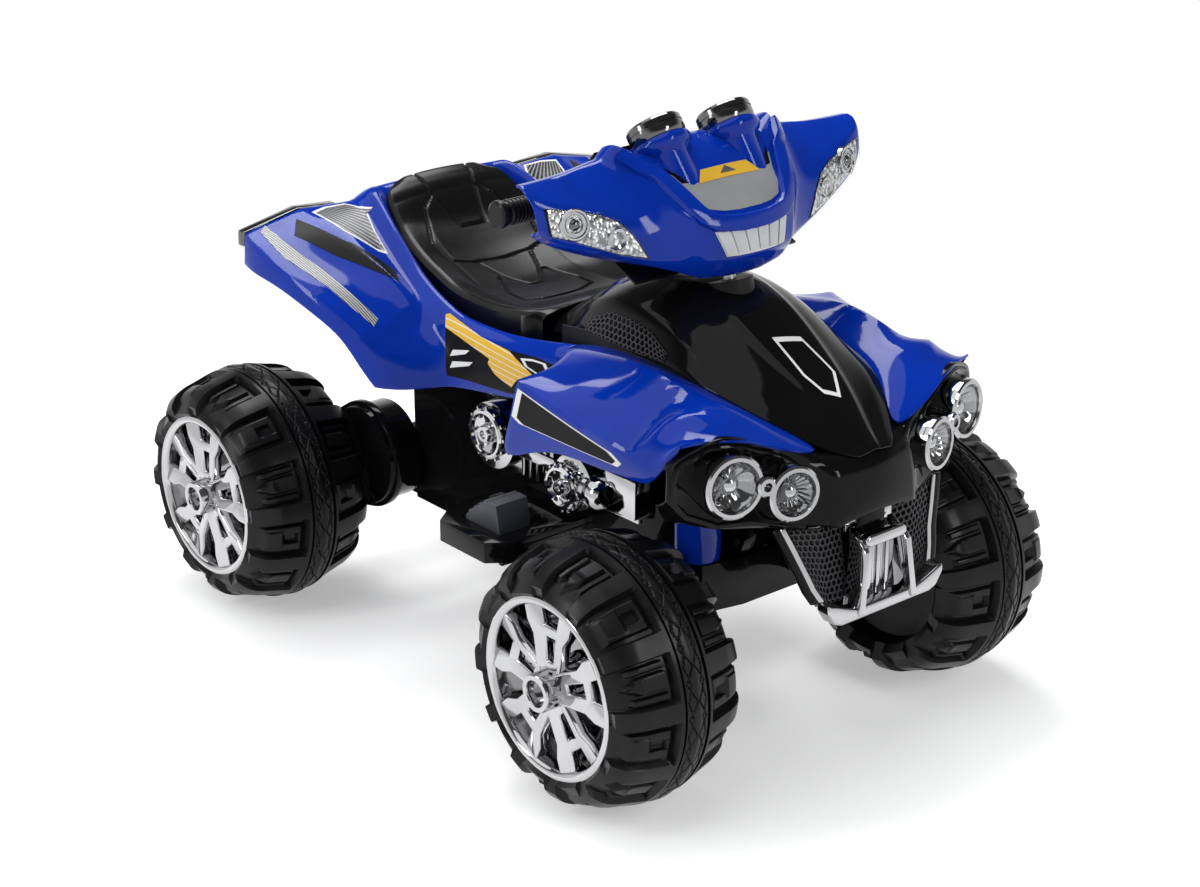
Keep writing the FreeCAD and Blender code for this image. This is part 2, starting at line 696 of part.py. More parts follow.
def axle_arm(sign):
    """Plate from the tub to the rear axle."""
    length, width = "142 + 24", "14"
    y = "tub_half_width - 30" if sign > 0 else "16 - tub_half_width"
    return box(length, width, "36", REAR_X + " - 22", y, AXLE_Z + " - 22")


def steering_opening():
    """Room in the tub's nose for the tie rod below and the shaft above."""
    back, length = FRONT_X + " - 66", "66"
    low = box(length, "2 * tub_half_width", "beam_bottom - tub_bottom + 10", back, "-tub_half_width",
              AXLE_Z + " + tub_bottom - 10")
    slot = box(length, "48", "tub_depth", back, "-24", AXLE_Z + " + tub_bottom")
    return low, slot


def axle_bore():
    return cylinder("axle_diameter + 2 * running_clearance", "200", REAR_X, "-100", AXLE_Z, ALONG_Y)


def board_front():
    return "(%s - tyre_diameter / 2 - board_clearance)" % FRONT_X


def footboard(sign):
    """Flat board from the tub's side, with its outer corners cut off and ribs below."""
    body = new_body("BoardBody")
    sketch = new_sketch(body, "XY_Plane")
    nose = board_front()
    back = nose + " - board_length"
    root, edge = "%d * (tub_half_width - tub_wall)" % sign, "%d * board_reach" % sign
    shoulder = "%d * (board_reach - 26)" % sign
    outline(sketch, [(back, root), (back, shoulder), (back + " + 20", edge),
                     (nose + " - 20", edge), (nose, shoulder), (nose, root)])
    pad(body, sketch, "board_thickness")
    ribs = new_sketch(body, "XY_Plane")
    for k in range(3):
        x = "%s - 22 - %d * (board_length - 50) / 2" % (nose, k)
        outline(ribs, [(x, root), (x, shoulder), (x + " - 6", shoulder), (x + " - 6", root)])
    rib = pad(body, ribs, "12")
    rib.Reversed = True
    return place(body, "0", "0", AXLE_Z + " + board_level - board_thickness")


def pedal_corner():
    """Rear corner of the pedal on the right footboard."""
    return "(%s - board_length / 2 - pedal_length / 2)" % board_front(), "(-board_reach + 30)"


def pedal_recess():
    x, y = pedal_corner()
    return box("pedal_length + 2 * pedal_margin", "pedal_width + 2 * pedal_margin", "board_thickness",
               x + " - pedal_margin", y + " - pedal_margin", AXLE_Z + " + board_level - board_thickness + 3")


def pedal_bore():
    x, y = pedal_corner()
    return cylinder("pedal_pin + 2 * running_clearance", "pedal_width + 2 * pedal_margin + 10",
                    x + " + pedal_pin", y + " - pedal_margin - 5", AXLE_Z + " + board_level - 8", ALONG_Y)


def pedal():
    """Wedge with a steep front, turning on trunnions at its rear end."""
    x, y = pedal_corner()
    body = new_body("PedalBody")
    sketch = new_sketch(body, "XZ_Plane")
    outline(sketch, [
        ("0", "-pedal_pin"), ("pedal_length - 6", "-4"), ("pedal_length", "0"),
        ("pedal_length - 8", "8 + pedal_height"), ("pedal_length - 22", "8 + pedal_height + 1"),
        ("2", "12"), ("0", "9"),
    ])
    pad(body, sketch, "pedal_width")
    treads = new_sketch(body, "XZ_Plane")
    for k in range(4):
        a = "(pedal_length - 26) * %d / 4 + 6" % k
        low = "12 + (pedal_height - 3) * %d / 4" % k
        outline(treads, [(a, low), (a + " + 5", low), (a + " + 5", low + " + 6"), (a, low + " + 6")])
    pad(body, treads, "pedal_width")
    place(body, x, y + " + pedal_width", AXLE_Z + " + board_level - 8")
    pin = cylinder("pedal_pin", "pedal_width + 2 * pedal_margin + 6", x + " + pedal_pin",
                   y + " - pedal_margin - 3", AXLE_Z + " + board_level - 8", ALONG_Y)
    sub_part(fuse(body, pin), "pedal")
    switch = box("20", "24", "3.5", x + " + pedal_length / 2 - 10", y + " + 10",
                 AXLE_Z + " + board_level - board_thickness + 3")
    return sub_part(switch, "pedal_switch")


def post(shell, offset, y):
    """Post on the tub floor up to the underside of a shell."""
    x, foot = front(offset), size(AXLE_Z + " + tub_bottom + tub_wall - 1")
    top = underside(x, y, 9, shell) - size("seat_gap")
    return cylinder("18", str(top - foot), str(x), str(y), str(foot))


# Motor axis from the rear axle
MOTOR_AHEAD, MOTOR_ABOVE = 97, 40


def gearbox(side_name, sign):
    """Two-lobed gearbox between the axle and the motor, with a stiffened rim."""
    body = new_body("GearboxBody")
    sketch = new_sketch(body, "XZ_Plane")
    lobe_profile(sketch, 62, 44)
    ring(sketch, "0", "0", "axle_diameter + 2 * running_clearance")
    depth = "(track / 2 - tyre_width / 2 - gearbox_clearance - gearbox_inner)"
    pad(body, sketch, depth)
    rim = new_sketch(body, "XZ_Plane", depth + " * 0.66")
    lobe_profile(rim, 68, 50)
    ring(rim, "0", "0", "axle_diameter + 2 * running_clearance")
    pad(body, rim, depth + " * 0.21")
    if sign < 0:
        place(body, REAR_X, "-gearbox_inner", AXLE_Z)
    else:
        place(body, REAR_X, "gearbox_inner + %s" % depth, AXLE_Z)
    sub_part(body, "gearbox_" + side_name)


def motor(sign):
    """Motor can on the gearbox's inner face."""
    start = "%d * (gearbox_inner - seat_gap)" % sign
    turn = AGAINST_Y if sign > 0 else ALONG_Y
    x, z = "%s + %d" % (REAR_X, MOTOR_AHEAD), "%s + %d" % (AXLE_Z, MOTOR_ABOVE)
    can = cylinder("motor_diameter", "motor_length", x, start, z, turn)
    tail = cylinder("motor_diameter / 3", "motor_length + 6", x, start, z, turn)
    return fuse(can, tail)


def lobe_profile(sketch, large, small):
    """Outline round two circles: the axle lobe and the larger motor lobe."""
    span = math.hypot(MOTOR_AHEAD, MOTOR_ABOVE)
    lean = math.atan2(MOTOR_ABOVE, MOTOR_AHEAD)
    spread = math.acos((small - large) / span)
    centres = (V(0, 0, 0), V(MOTOR_AHEAD, MOTOR_ABOVE, 0))
    ends = []
    for centre, radius in zip(centres, (small, large)):
        for angle in (lean + spread, lean - spread):
            ends.append(centre + V(math.cos(angle), math.sin(angle), 0) * radius)
    axle_top, axle_low, motor_top, motor_low = ends
    axle_far = V(-math.cos(lean), -math.sin(lean), 0) * small
    motor_far = centres[1] + V(math.cos(lean), math.sin(lean), 0) * large
    edges = [Part.LineSegment(axle_low, motor_low), Part.Arc(motor_low, motor_far, motor_top),
             Part.LineSegment(motor_top, axle_top), Part.Arc(axle_top, axle_far, axle_low)]
    for edge in edges:
        sketch.addGeometry(edge, False)


def electrics():
    """Battery with its strap, control box and charging socket."""
    floor_level = AXLE_Z + " + tub_bottom + tub_wall + seat_gap"
    x, y = REAR_X + " + 192", "-battery_width / 2"
    sub_part(box("battery_length", "battery_width", "battery_height", x, y, floor_level), "battery")
    strap_top = box("24", "battery_width + 8", "3", x + " + battery_length / 2 - 12", y + " - 4",
                    floor_level + " + battery_height + seat_gap")
    legs = [box("24", "3", "battery_height + 3", x + " + battery_length / 2 - 12", leg, floor_level)
            for leg in (y + " - 4", "battery_width / 2 + 1")]
    sub_part(fuse(strap_top, *legs), "battery_strap")
    sub_part(box("74", "58", "34", x + " + battery_length + 30", "-29", floor_level), "control_box")
    face = REAR_X + " + 142 - seat_gap"
    level = AXLE_Z + " + 120"
    barrel = cylinder("18", "socket_depth + 5", face, "0", level, AGAINST_X)
    flange = cylinder("26", "3", face, "0", level, AGAINST_X)
    bore = cylinder("socket_bore", "socket_depth", face + " - 5", "0", level, AGAINST_X)
    sub_part(cut(fuse(barrel, flange), bore), "charge_socket")


# Body shells

def half_rows(table, place_x):
    """Rows of points from a table of stations: offset, then pairs of width and height."""
    return [[V(place_x(offset), out(y), up(z)) for y, z in pairs] for offset, pairs in table]


def rear_shell_rows():
    """Deck, rail, fender and lip lines from the tail to the tank."""
    deck = DRAWN["deck_height"]
    tail = [
        (50, [(0, 366), (92, 362), (108, 360), (120, 352), (196, 357), (274, 341), (276, 318)]),
        (72, [(0, 374), (94, 371), (110, 368), (124, 354), (194, 352), (276, 335), (278, 304)]),
        (97, [(0, 318), (90, 322), (112, 361), (126, 346), (189, 344), (276, 324), (278, 298)]),
        (152, [(0, 270), (102, 276), (123, 330), (137, 315), (176, 320), (266, 302), (269, 282)]),
        (212, [(0, 240), (107, 246), (132, 296), (147, 283), (166, 291), (247, 268), (251, 252)]),
        (247, [(0, deck + 6), (109, 238), (134, 281), (149, 268), (170, 264), (229, 238), (234, 196)]),
        (272, [(0, deck + 2), (110, 234), (135, 274), (150, 257), (166, 237), (198, 205), (204, 188)]),
        (298, [(0, deck), (110, 232), (135, 269), (149, 250), (153, 227), (155, 206), (155, 190)]),
    ]
    nose = [
        (-290, [(0, deck), (108, 232), (131, 266), (147, 248), (151, 227), (151, 209), (150, 200)]),
        (-196, [(0, deck), (98, 238), (120, 281), (135, 265), (141, 243), (142, 226), (141, 212)]),
    ]
    return [mirrored_row(row) for row in half_rows(tail, rear) + half_rows(nose, front)]


def tank_rows():
    """Crown, raised panel, shoulder and skirt lines of the tank cover from the seat to the nose."""
    table = [
        (-284, [(0, 291), (26, 290), (32, 287), (48, 286), (66, 280), (84, 262)]),
        (-245, [(0, 320), (30, 318), (36, 315), (56, 310), (76, 300), (94, 277)]),
        (-205, [(0, 343), (32, 341), (39, 337), (58, 333), (80, 323), (100, 292)]),
        (-165, [(0, 357), (34, 355), (41, 351), (62, 346), (84, 333), (105, 291)]),
        (-130, [(0, 363), (36, 360), (43, 356), (64, 350), (86, 335), (107, 291)]),
        (-95, [(0, 363), (38, 359), (45, 355), (66, 348), (88, 332), (108, 290)]),
        (-60, [(0, 358), (38, 354), (45, 350), (66, 343), (88, 326), (108, 288)]),
        (-20, [(0, 343), (38, 338), (45, 334), (66, 327), (89, 311), (108, 285)]),
        (20, [(0, 319), (35, 314), (42, 310), (62, 303), (84, 292), (104, 280)]),
        (60, [(0, 295), (29, 291), (36, 287), (54, 281), (76, 275), (93, 268)]),
        (95, [(0, 271), (21, 268), (28, 264), (42, 260), (58, 256), (72, 251)]),
        (125, [(0, 249), (10, 247), (17, 243), (27, 241), (38, 239), (50, 235)]),
        (150, [(0, 232), (4, 232), (8, 231), (14, 231), (20, 230), (26, 229)]),
    ]
    return [mirrored_row(row) for row in half_rows(table, front)]


def front_shell_rows():
    """Seam, crown, ridge, crease and edge lines of the left fender, rear to front."""
    table = [
        [(-190, 123, 284), (-160, 150, 290), (-126, 196, 276), (-160, 235, 268), (-186, 234, 180)],
        [(-150, 119, 288), (-128, 148, 298), (-100, 200, 282), (-128, 236, 262), (-146, 232, 190)],
        [(-100, 112, 291), (-86, 150, 304), (-64, 198, 288), (-80, 232, 252), (-84, 226, 196)],
        [(-40, 111, 291), (-36, 154, 311), (-24, 200, 291), (-28, 226, 246), (-28, 216, 198)],
        [(10, 110, 283), (10, 156, 311), (12, 200, 290), (12, 221, 248), (24, 208, 196)],
        [(60, 98, 271), (52, 140, 298), (46, 190, 290), (40, 218, 270), (42, 225, 248)],
        [(96, 83, 256), (88, 120, 275), (76, 160, 282), (62, 196, 280), (56, 222, 268)],
        [(132, 63, 233), (123, 100, 247), (111, 140, 264), (97, 180, 272), (83, 213, 270)],
    ]
    return [[V(front(x), out(y), up(z)) for x, y, z in row] for row in table]


def mirrored(shape):
    return shape.mirror(V(0, 0, 0), V(0, 1, 0))


def front_shell():
    left = panel(front_shell_rows(), size("shell_wall"))
    return Part.makeCompound([left, mirrored(left)])


def both_halves(half):
    """Rows across the vehicle from the rows of its left half, middle row first."""
    return [[V(p.x, -p.y, p.z) for p in row] for row in half[:0:-1]] + half


def fascia_rows():
    """Underside, chin, face, brow and top lines of the nose and the lamp pods."""
    table = [
        (0, [(105, 162), (150, 167), (160, 172), (163, 195), (160, 213), (150, 224), (118, 232)]),
        (30, [(100, 161), (148, 166), (157, 172), (159, 196), (156, 213), (146, 223), (104, 231)]),
        (58, [(92, 156), (138, 158), (147, 166), (150, 195), (146, 213), (135, 222), (92, 229)]),
        (72, [(88, 150), (130, 150), (139, 158), (140, 190), (138, 214), (126, 226), (84, 234)]),
        (107, [(76, 150), (116, 150), (126, 158), (128, 200), (124, 232), (112, 246), (70, 250)]),
        (145, [(66, 152), (106, 153), (115, 162), (117, 205), (112, 244), (100, 259), (58, 263)]),
        (180, [(58, 158), (96, 160), (104, 170), (106, 210), (100, 252), (86, 267), (46, 269)]),
        (208, [(56, 172), (84, 176), (92, 186), (94, 218), (88, 249), (76, 260), (50, 258)]),
        (225, [(62, 202), (74, 205), (80, 212), (82, 226), (79, 240), (72, 246), (62, 246)]),
    ]
    return both_halves([[V(front(x), out(y), up(z)) for x, z in pairs] for y, pairs in table])


LAMPS = ((118, 175, 222, 34), (139, 107, 206, 30), (118, 143, 188, 10))
LAMP_TOE = 13


def lamp_frame(lamp, sign):
    """Middle and outward axis of a lamp on one side."""
    x, y, z, radius = lamp
    toe = math.radians(LAMP_TOE)
    return V(front(x), sign * out(y), up(z)), V(math.cos(toe), sign * math.sin(toe), 0.06)


def lamp_cup(middle, axis, radius):
    """Barrel with a tapered back and a conical bowl, open ahead."""
    depth, rim = lamp_depth(radius), lamp_rim(radius)
    barrel = 0.7 * depth
    cup = Part.makeCone(radius * 0.45, radius, depth - barrel, middle - axis * depth, axis)
    cup = cup.fuse(Part.makeCylinder(radius, barrel + rim + 4, middle - axis * barrel, axis)).removeSplitter()
    bowl = Part.makeCone(radius * 0.3, radius - rim, depth, middle - axis * (depth - 4), axis)
    mouth = Part.makeCylinder(radius - rim, 20, middle + axis * 3.9, axis)
    return cup.cut(bowl).cut(mouth)


def lamp_lens(middle, axis, radius):
    """Disc with a domed face in the mouth of a cup."""
    gap = size("seat_gap")
    width, foot = radius - lamp_rim(radius) - gap, middle + axis * (4 + gap)
    dome = Part.makeSphere(radius * 1.6, middle + axis * (10 + radius * 0.12 - radius * 1.6))
    disc, tall = (Part.makeCylinder(width, height, foot, axis) for height in (3, 14))
    return disc.fuse(tall.common(dome)).removeSplitter()


def lamp_depth(radius):
    return radius * 0.9 + 8


def lamp_rim(radius):
    return radius * 0.12 + 1


def lamps():
    """Chrome reflector cups with clear domed lenses, three to a side, and the holes that they sit in."""
    cups, lenses, holes = [], [], []
    for lamp in LAMPS:
        for side_name, sign in SIDES:
            middle, axis = lamp_frame(lamp, sign)
            radius = out(lamp[3])
            cups.append(lamp_cup(middle, axis, radius))
            lenses.append(lamp_lens(middle, axis, radius))
            depth = lamp_depth(radius) + 1
            holes.append(Part.makeCylinder(radius + size("seat_gap"), depth + 60, middle - axis * depth, axis))
    sub_part(feature(Part.makeCompound(cups)), "lamp_reflectors")
    sub_part(feature(Part.makeCompound(lenses)), "lamp_lenses")
    return holes


def body_shells():
    wall = size("shell_wall")
    deck = panel(rear_shell_rows(), wall)
    fenders = front_shell()
    tank = panel(tank_rows(), wall)
    neck = Part.makeCylinder(26 + size("seat_gap"), 120, axis_point(300), axis_point(1) - axis_point(0))
    nose = panel(fascia_rows(), wall)
    for hole in lamps():
        nose = nose.cut(hole)
    sub_part(feature(deck), "rear_body_shell")
    sub_part(feature(fenders), "front_body_shell")
    sub_part(feature(tank.cut(neck)), "tank_cover")
    sub_part(feature(nose), "front_fascia")
    collar = shaft_rod("52", "326", "24")
    bore = shaft_rod("shaft_diameter + 2 * running_clearance", "320", "60")
    sub_part(cut(collar, bore), "neck_collar")
    return deck, fenders, tank, nose


def seat_rows():
    """Closed sections of the saddle, tail to tank: skirt, side, edge, shoulder and middle."""
    table = [
        (75, 90, 340, 368, 370, 370), (97, 96, 300, 350, 353, 353), (124, 102, 275, 334, 333, 331),
        (152, 108, 252, 320, 316, 312), (212, 113, 228, 300, 290, 286), (272, 116, 216, 288, 276, 273),
        (322, 115, 216, 287, 276, 273), (354, 110, 218, 288, 282, 281), (372, 104, 222, 288, 287, 288),
        (386, 92, 228, 284, 288, 291),
    ]
    rows = []
    for offset, width, low, edge, shoulder, middle in table:
        half = [(width - 5, low), (width, edge - 8), (width - 7, edge), (width * 0.55, shoulder)]
        points = [V(rear(offset), out(y), up(z)) for y, z in half] + [V(rear(offset), 0, up(middle))]
        rows.append(points + [V(p.x, -p.y, p.z) for p in points[-2::-1]])
    return rows


# Channels round the pads of the seat: distance from the front axle and from the middle
SEAT_CHANNELS = (
    ((-574, 33), (-533, 17), (-533, 0)),
    ((-574, 33), (-562, 52), (-516, 76), (-484, 69), (-477, 42), (-477, 0)),
    ((-477, 42), (-440, 28), (-411, 9), (-411, 0)),
    ((-440, 28), (-398, 52), (-370, 52), (-362, 28), (-362, 0)),
)


def channel_walls():
    """Upright walls along the channels, on both sides."""
    width, tall = size("channel_width"), 2000
    walls = []
    for line in SEAT_CHANNELS:
        for side_name, sign in SIDES:
            points = [V(front(x), sign * out(y), 0) for x, y in line]
            for start, end in zip(points, points[1:]):
                along = end - start
                wall = Part.makeBox(along.Length, width, tall, V(0, -width / 2, 0))
                wall.Placement = FreeCAD.Placement(start, FreeCAD.Rotation(V(1, 0, 0), along))
                walls += [wall, Part.makeCylinder(width / 2, tall, end)]
    return walls[0].fuse(walls[1:])


def seat(deck):
    """Saddle with a raised back, dished middle and channels round its pads, cut clear of its deck."""
    form = block(seat_rows())
    lowered, raised = form.copy(), deck.copy()
    lowered.translate(V(0, 0, -size("channel_depth")))
    raised.translate(V(0, 0, size("seat_gap_deck")))
    channels = channel_walls().common(form).cut(lowered)
    sub_part(feature(largest(form.cut(raised).cut(channels))), "seat")


# Front bumper and grille

BUMPER_BACK = 150


def slab(points, x, depth):
    """Flat plate across the vehicle: outline in width and height, thickness forwards."""
    corners = [V(front(x), out(y), up(z)) for y, z in points]
    return Part.Face(Part.makePolygon(corners + corners[:1])).extrude(V(depth, 0, 0))


def front_bumper():
    """Chrome frame: lower bar, twin posts with a cross piece and two swept arms."""
    depth = front(DRAWN["bumper_overhang"]) - front(BUMPER_BACK)
    half_bar = [(0, 56), (70, 56), (88, 66), (84, 82), (0, 82)]
    half_post = [(22, 81), (33, 81), (31, 146), (22, 146)]
    half_arm = [(70, 81), (84, 81), (108, 160), (94, 164), (66, 92)]
    solids = []
    for outline_points, reach in ((half_bar, depth), (half_post, depth - 8), (half_arm, depth - 12)):
        half = slab(outline_points, BUMPER_BACK, reach)
        solids += [half, mirrored(half)]
    solids.append(slab([(-31, 134), (31, 134), (31, 146), (-31, 146)], BUMPER_BACK, depth - 8))
    frame = solids[0].fuse(solids[1:]).removeSplitter()
    face = front(BUMPER_BACK) + depth
    edges = [edge for edge in frame.Edges if abs(edge.BoundBox.XMin - face) < 0.1]
    return sub_part(feature(frame.makeChamfer(5, edges)), "front_bumper")


def hexagon(middle, radius):
    """Closed hexagon across the vehicle, with two flats level."""
    turns = [math.radians(60 * k) for k in range(7)]
    return Part.makePolygon([middle + V(0, math.cos(turn), math.sin(turn)) * radius for turn in turns])


def grille_mesh():
    """Pierced plates behind the bumper, one holed face each."""
    thickness = size("mesh_thickness")
    x = front(BUMPER_BACK) - thickness - size("seat_gap")
    cell, bar = size("mesh_cell"), size("mesh_bar")
    radius = (cell - bar) / math.sqrt(3)
    step = cell * math.sqrt(3) / 2
    inner, low_edge, high_edge, low, high = out(26), out(82), out(98), up(84), up(148)
    plates = []
    for side_name, sign in SIDES:
        corners = [(inner, low), (low_edge, low), (high_edge, high), (inner, high), (inner, low)]
        wires = [Part.makePolygon([V(x, sign * y, z) for y, z in corners])]
        for column in range(int((high_edge - inner) / step)):
            for line in range(int((high - low) / cell)):
                y = inner + radius + bar + column * step
                z = low + radius + bar + (line + 0.5 * (column % 2)) * cell
                edge = low_edge + (z - low) * (high_edge - low_edge) / (high - low)
                if y + radius + bar < edge and z + radius + bar < high:
                    wires.append(hexagon(V(x, sign * y, z), radius))
        plates.append(Part.Face(wires, "Part::FaceMakerBullseye").extrude(V(thickness, 0, 0)))
    return sub_part(feature(Part.makeCompound(plates)), "grille_mesh")


def bumper_bracket(nose):
    """Gusset from the front beam that carries the bumper and the fascia."""
    gap = size("seat_gap")
    start, end = size(FRONT_X + " + beam_front") + gap, front(BUMPER_BACK) - gap
    probe = Part.makeBox(end - front(112), 36, 400, V(front(112), -18, up(100)))
    top = nose.common(probe).optimalBoundingBox(False, False).ZMin - gap
    points = [(start, up(62)), (start, up(96)), (front(112), top), (end, top), (end, up(62))]
    corners = [V(x, -18, z) for x, z in points]
    gusset = Part.Face(Part.makePolygon(corners + corners[:1])).extrude(V(0, 36, 0))
    return sub_part(feature(gusset), "bumper_bracket")


# Trim

def engine_cover(side_name, sign):
    """Chrome side cover: back plate, gear case, cylinder drum with fins and a front box."""
    face = "(tub_half_width + seat_gap)"
    turn = ALONG_Y if sign > 0 else AGAINST_Y

    def drum(x, z, diameter, depth):
        return cylinder(diameter, depth, FRONT_X + x, "%d * %s" % (sign, face), AXLE_Z + z, turn)

    def block_on(x, z, length, height, depth):
        y = face if sign > 0 else "-(%s + %s)" % (face, depth)
        return box(length, depth, height, FRONT_X + x, y, AXLE_Z + z)

    pieces = [block_on(" - 372", " + 92", "270", "78", "6"), drum(" - 334", " + 134", "80", "30"),
              drum(" - 334", " + 134", "50", "38"), drum(" - 334", " + 134", "20", "44"),
              drum(" - 182", " + 124", "66", "34"), drum(" - 182", " + 124", "36", "42"),
              block_on(" - 130", " + 110", "50", "44", "30")]
    for k in range(5):
        pieces.append(block_on(" - %d" % (284 - 13 * k), " + 100", "6", "62", "26"))
    pieces.append(block_on(" - 290", " + 124", "70", "14", "30"))
    return sub_part(fuse(*pieces), "engine_cover_" + side_name)


def tail_trim(deck):
    """Chrome end pieces on the rear edges of the fenders."""
    outline_points = [(140, 352), (196, 356), (272, 340), (273, 322), (200, 334), (140, 336)]
    x = deck.optimalBoundingBox(False, False).XMin - size("seat_gap")
    corners = [V(x, out(y), up(z)) for y, z in outline_points]
    half = Part.Face(Part.makePolygon(corners + corners[:1])).extrude(V(-14, 0, 0))
    return sub_part(feature(Part.makeCompound([half, mirrored(half)])), "tail_trim")


def stretch(rows, first, last, count):
    """Rows between two stations of a grid, on the same feature lines."""
    lines = []
    for line in zip(*rows):
        curve = spline(list(line)).Curve
        start, end = curve.parameter(line[first]), curve.parameter(line[last])
        lines.append([curve.value(start + (end - start) * k / (count - 1)) for k in range(count)])
    return [list(row) for row in zip(*lines)]


def tank_vents():
    """Mesh panels on the tank cover's flanks, following its surface."""
    rows = stretch(tank_rows(), 2, 6, 6)
    side_rows = []
    for row in rows:
        shoulder, skirt = row[-2], row[-1]
        side_rows.append([shoulder + (skirt - shoulder) * share for share in (0.18, 0.5, 0.82)])
    half = panel(side_rows, 2.5, lift=2.5 + size("seat_gap"))
    return sub_part(feature(Part.makeCompound([half, mirrored(half)])), "tank_vents")


# Handlebar fairing

def fairing_rows():
    """Chin, light bar, screen and top lines from the middle out over the ridge to the wing tip."""
    table = [
        [(-88, 0, 372), (-52, 0, 374), (-33, 0, 395), (-32, 0, 406),
         (-38, 0, 428), (-39, 0, 440), (-46, 0, 450), (-80, 0, 478),
         (-115, 0, 505), (-140, 0, 514), (-162, 0, 505)],
        [(-88, 26, 372), (-53, 26, 374), (-34, 27, 395), (-33, 28, 406),
         (-39, 30, 428), (-41, 34, 440), (-49, 36, 450), (-83, 40, 478),
         (-117, 44, 505), (-141, 46, 512), (-162, 46, 503)],
        [(-90, 46, 374), (-57, 46, 376), (-42, 49, 396), (-41, 51, 406),
         (-48, 57, 429), (-52, 64, 442), (-62, 70, 454), (-92, 78, 482),
         (-118, 84, 502), (-140, 88, 505), (-160, 88, 498)],
        [(-92, 56, 375), (-60, 58, 377), (-46, 62, 397), (-46, 65, 408),
         (-54, 72, 432), (-60, 79, 446), (-70, 86, 460), (-100, 96, 490),
         (-126, 106, 512), (-140, 112, 518), (-158, 112, 510)],
        [(-93, 64, 378), (-66, 66, 380), (-58, 74, 398), (-60, 80, 410),
         (-70, 90, 434), (-76, 97, 446), (-86, 104, 458), (-112, 114, 482),
         (-134, 122, 498), (-146, 124, 502), (-158, 124, 498)],
        [(-104, 90, 388), (-82, 92, 390), (-78, 104, 398), (-78, 112, 406),
         (-86, 122, 430), (-92, 126, 444), (-100, 130, 456), (-120, 134, 478),
         (-138, 138, 495), (-147, 138, 500), (-158, 138, 496)],
        [(-120, 156, 416), (-108, 158, 418), (-104, 162, 424), (-102, 165, 432),
         (-104, 168, 450), (-108, 170, 460), (-114, 171, 466), (-126, 172, 476),
         (-138, 173, 486), (-146, 173, 491), (-156, 173, 490)],
        [(-132, 206, 445), (-124, 208, 446), (-120, 212, 450), (-118, 215, 455),
         (-118, 217, 464), (-119, 218, 470), (-121, 219, 474), (-127, 220, 479),
         (-134, 220, 484), (-140, 220, 487), (-150, 220, 487)],
        [(-135, 228, 459), (-130, 230, 460), (-128, 233, 463), (-127, 235, 467),
         (-127, 236, 472), (-127, 237, 476), (-128, 237, 478), (-130, 237, 481),
         (-133, 237, 484), (-137, 236, 486), (-144, 235, 486)],
    ]
    return both_halves([[head(*spot) for spot in row] for row in table])


CAP_PLACE = (-128, 50, 494)
CAP_LEAN = V(-0.342, 0, 0.94)


def cap_foot(sign):
    x, y, z = CAP_PLACE
    return head(x, sign * y, z)


def fairing():
    """Shell with two stub tubes for the intake caps."""
    shape = panel(fairing_rows(), size("shell_wall"))
    for side_name, sign in SIDES:
        tube = Part.makeCylinder(size("cap_diameter / 2") - 7, size("cap_rise"), cap_foot(sign), CAP_LEAN)
        shape = shape.fuse(tube)
    axis = axis_point(1) - axis_point(0)
    hole = Part.makeCylinder(size("shaft_diameter / 2 + seat_gap"), 120, axis_point(330), axis)
    return shape.removeSplitter().cut(hole)


def between(row, first, second, shares):
    return [row[first] + (row[second] - row[first]) * share for share in shares]


def lens_line(row):
    """Line of a headlamp lens up the wing's face."""
    return between(row, 2, 3, (0.3,)) + [row[3], row[4]] + between(row, 4, 5, (0.5,))


def fairing_trim():
    """Headlamp lenses, light bar and intake caps on the fairing."""
    rows = fairing_rows()
    gap = size("seat_gap")
    last = len(rows) - 1
    wing = [lens_line(row) for row in stretch(rows, last - 3, last - 1, 7)]
    lens = panel(wing, 3, lift=3 + gap)
    sub_part(feature(Part.makeCompound([lens, mirrored(lens)])), "headlamp_lenses")
    middle = len(rows) // 2
    bar = [between(row, 3, 4, (0.05, 0.5, 0.95)) for row in stretch(rows, middle - 2, middle + 2, 9)[1:-1]]
    sub_part(feature(panel(bar, 3, lift=3 + gap)), "light_bar")
    caps = []
    radius = size("cap_diameter / 2")
    for side_name, sign in SIDES:
        foot = cap_foot(sign) + CAP_LEAN * (size("cap_rise") + gap)
        base = Part.makeCylinder(radius, 12, foot, CAP_LEAN)
        crown = Part.makeCone(radius - 2, radius - 8, 8, foot + CAP_LEAN * 12, CAP_LEAN)
        caps.append(base.fuse(crown))
    sub_part(feature(Part.makeCompound(caps)), "intake_caps")


# Dash cover and controls

DASH = ((-164, 503), (-196, 462), (-186, 412), (-96, 373))
CONTROLS = (("start_button", -34), ("horn_button", 34))


def dash_rows():
    gap = size("seat_gap")
    widths = (-118, -60, 0, 60, 118)
    return [[head(x, y, z) - V(gap, 0, 0) for x, z in DASH] for y in widths]


def dash_frame(y):
    """Middle of the dash's upper face at a width, with its outward axis."""
    top, low = (head(x, y, z) - V(size("seat_gap"), 0, 0) for x, z in DASH[:2])
    along = (low - top).normalize()
    return (top + low) * 0.5, V(0, 1, 0).cross(along) * (1 if V(0, 1, 0).cross(along).x < 0 else -1)


def dash_cover():
    """Rear cover of the fairing with the openings for the controls."""
    shape = panel(dash_rows(), size("shell_wall"))
    hole = size("button_diameter / 2 + button_clearance")
    for label, y in CONTROLS:
        middle, axis = dash_frame(y)
        shape = shape.cut(Part.makeCylinder(hole, 40, middle - axis * 20, axis))
    middle, axis = dash_frame(0)
    clear = size("button_clearance")
    shape = shape.cut(oriented_box(middle, axis, 22 + 2 * clear, 15 + 2 * clear, 40))
    return sub_part(feature(shape), "dash_cover")


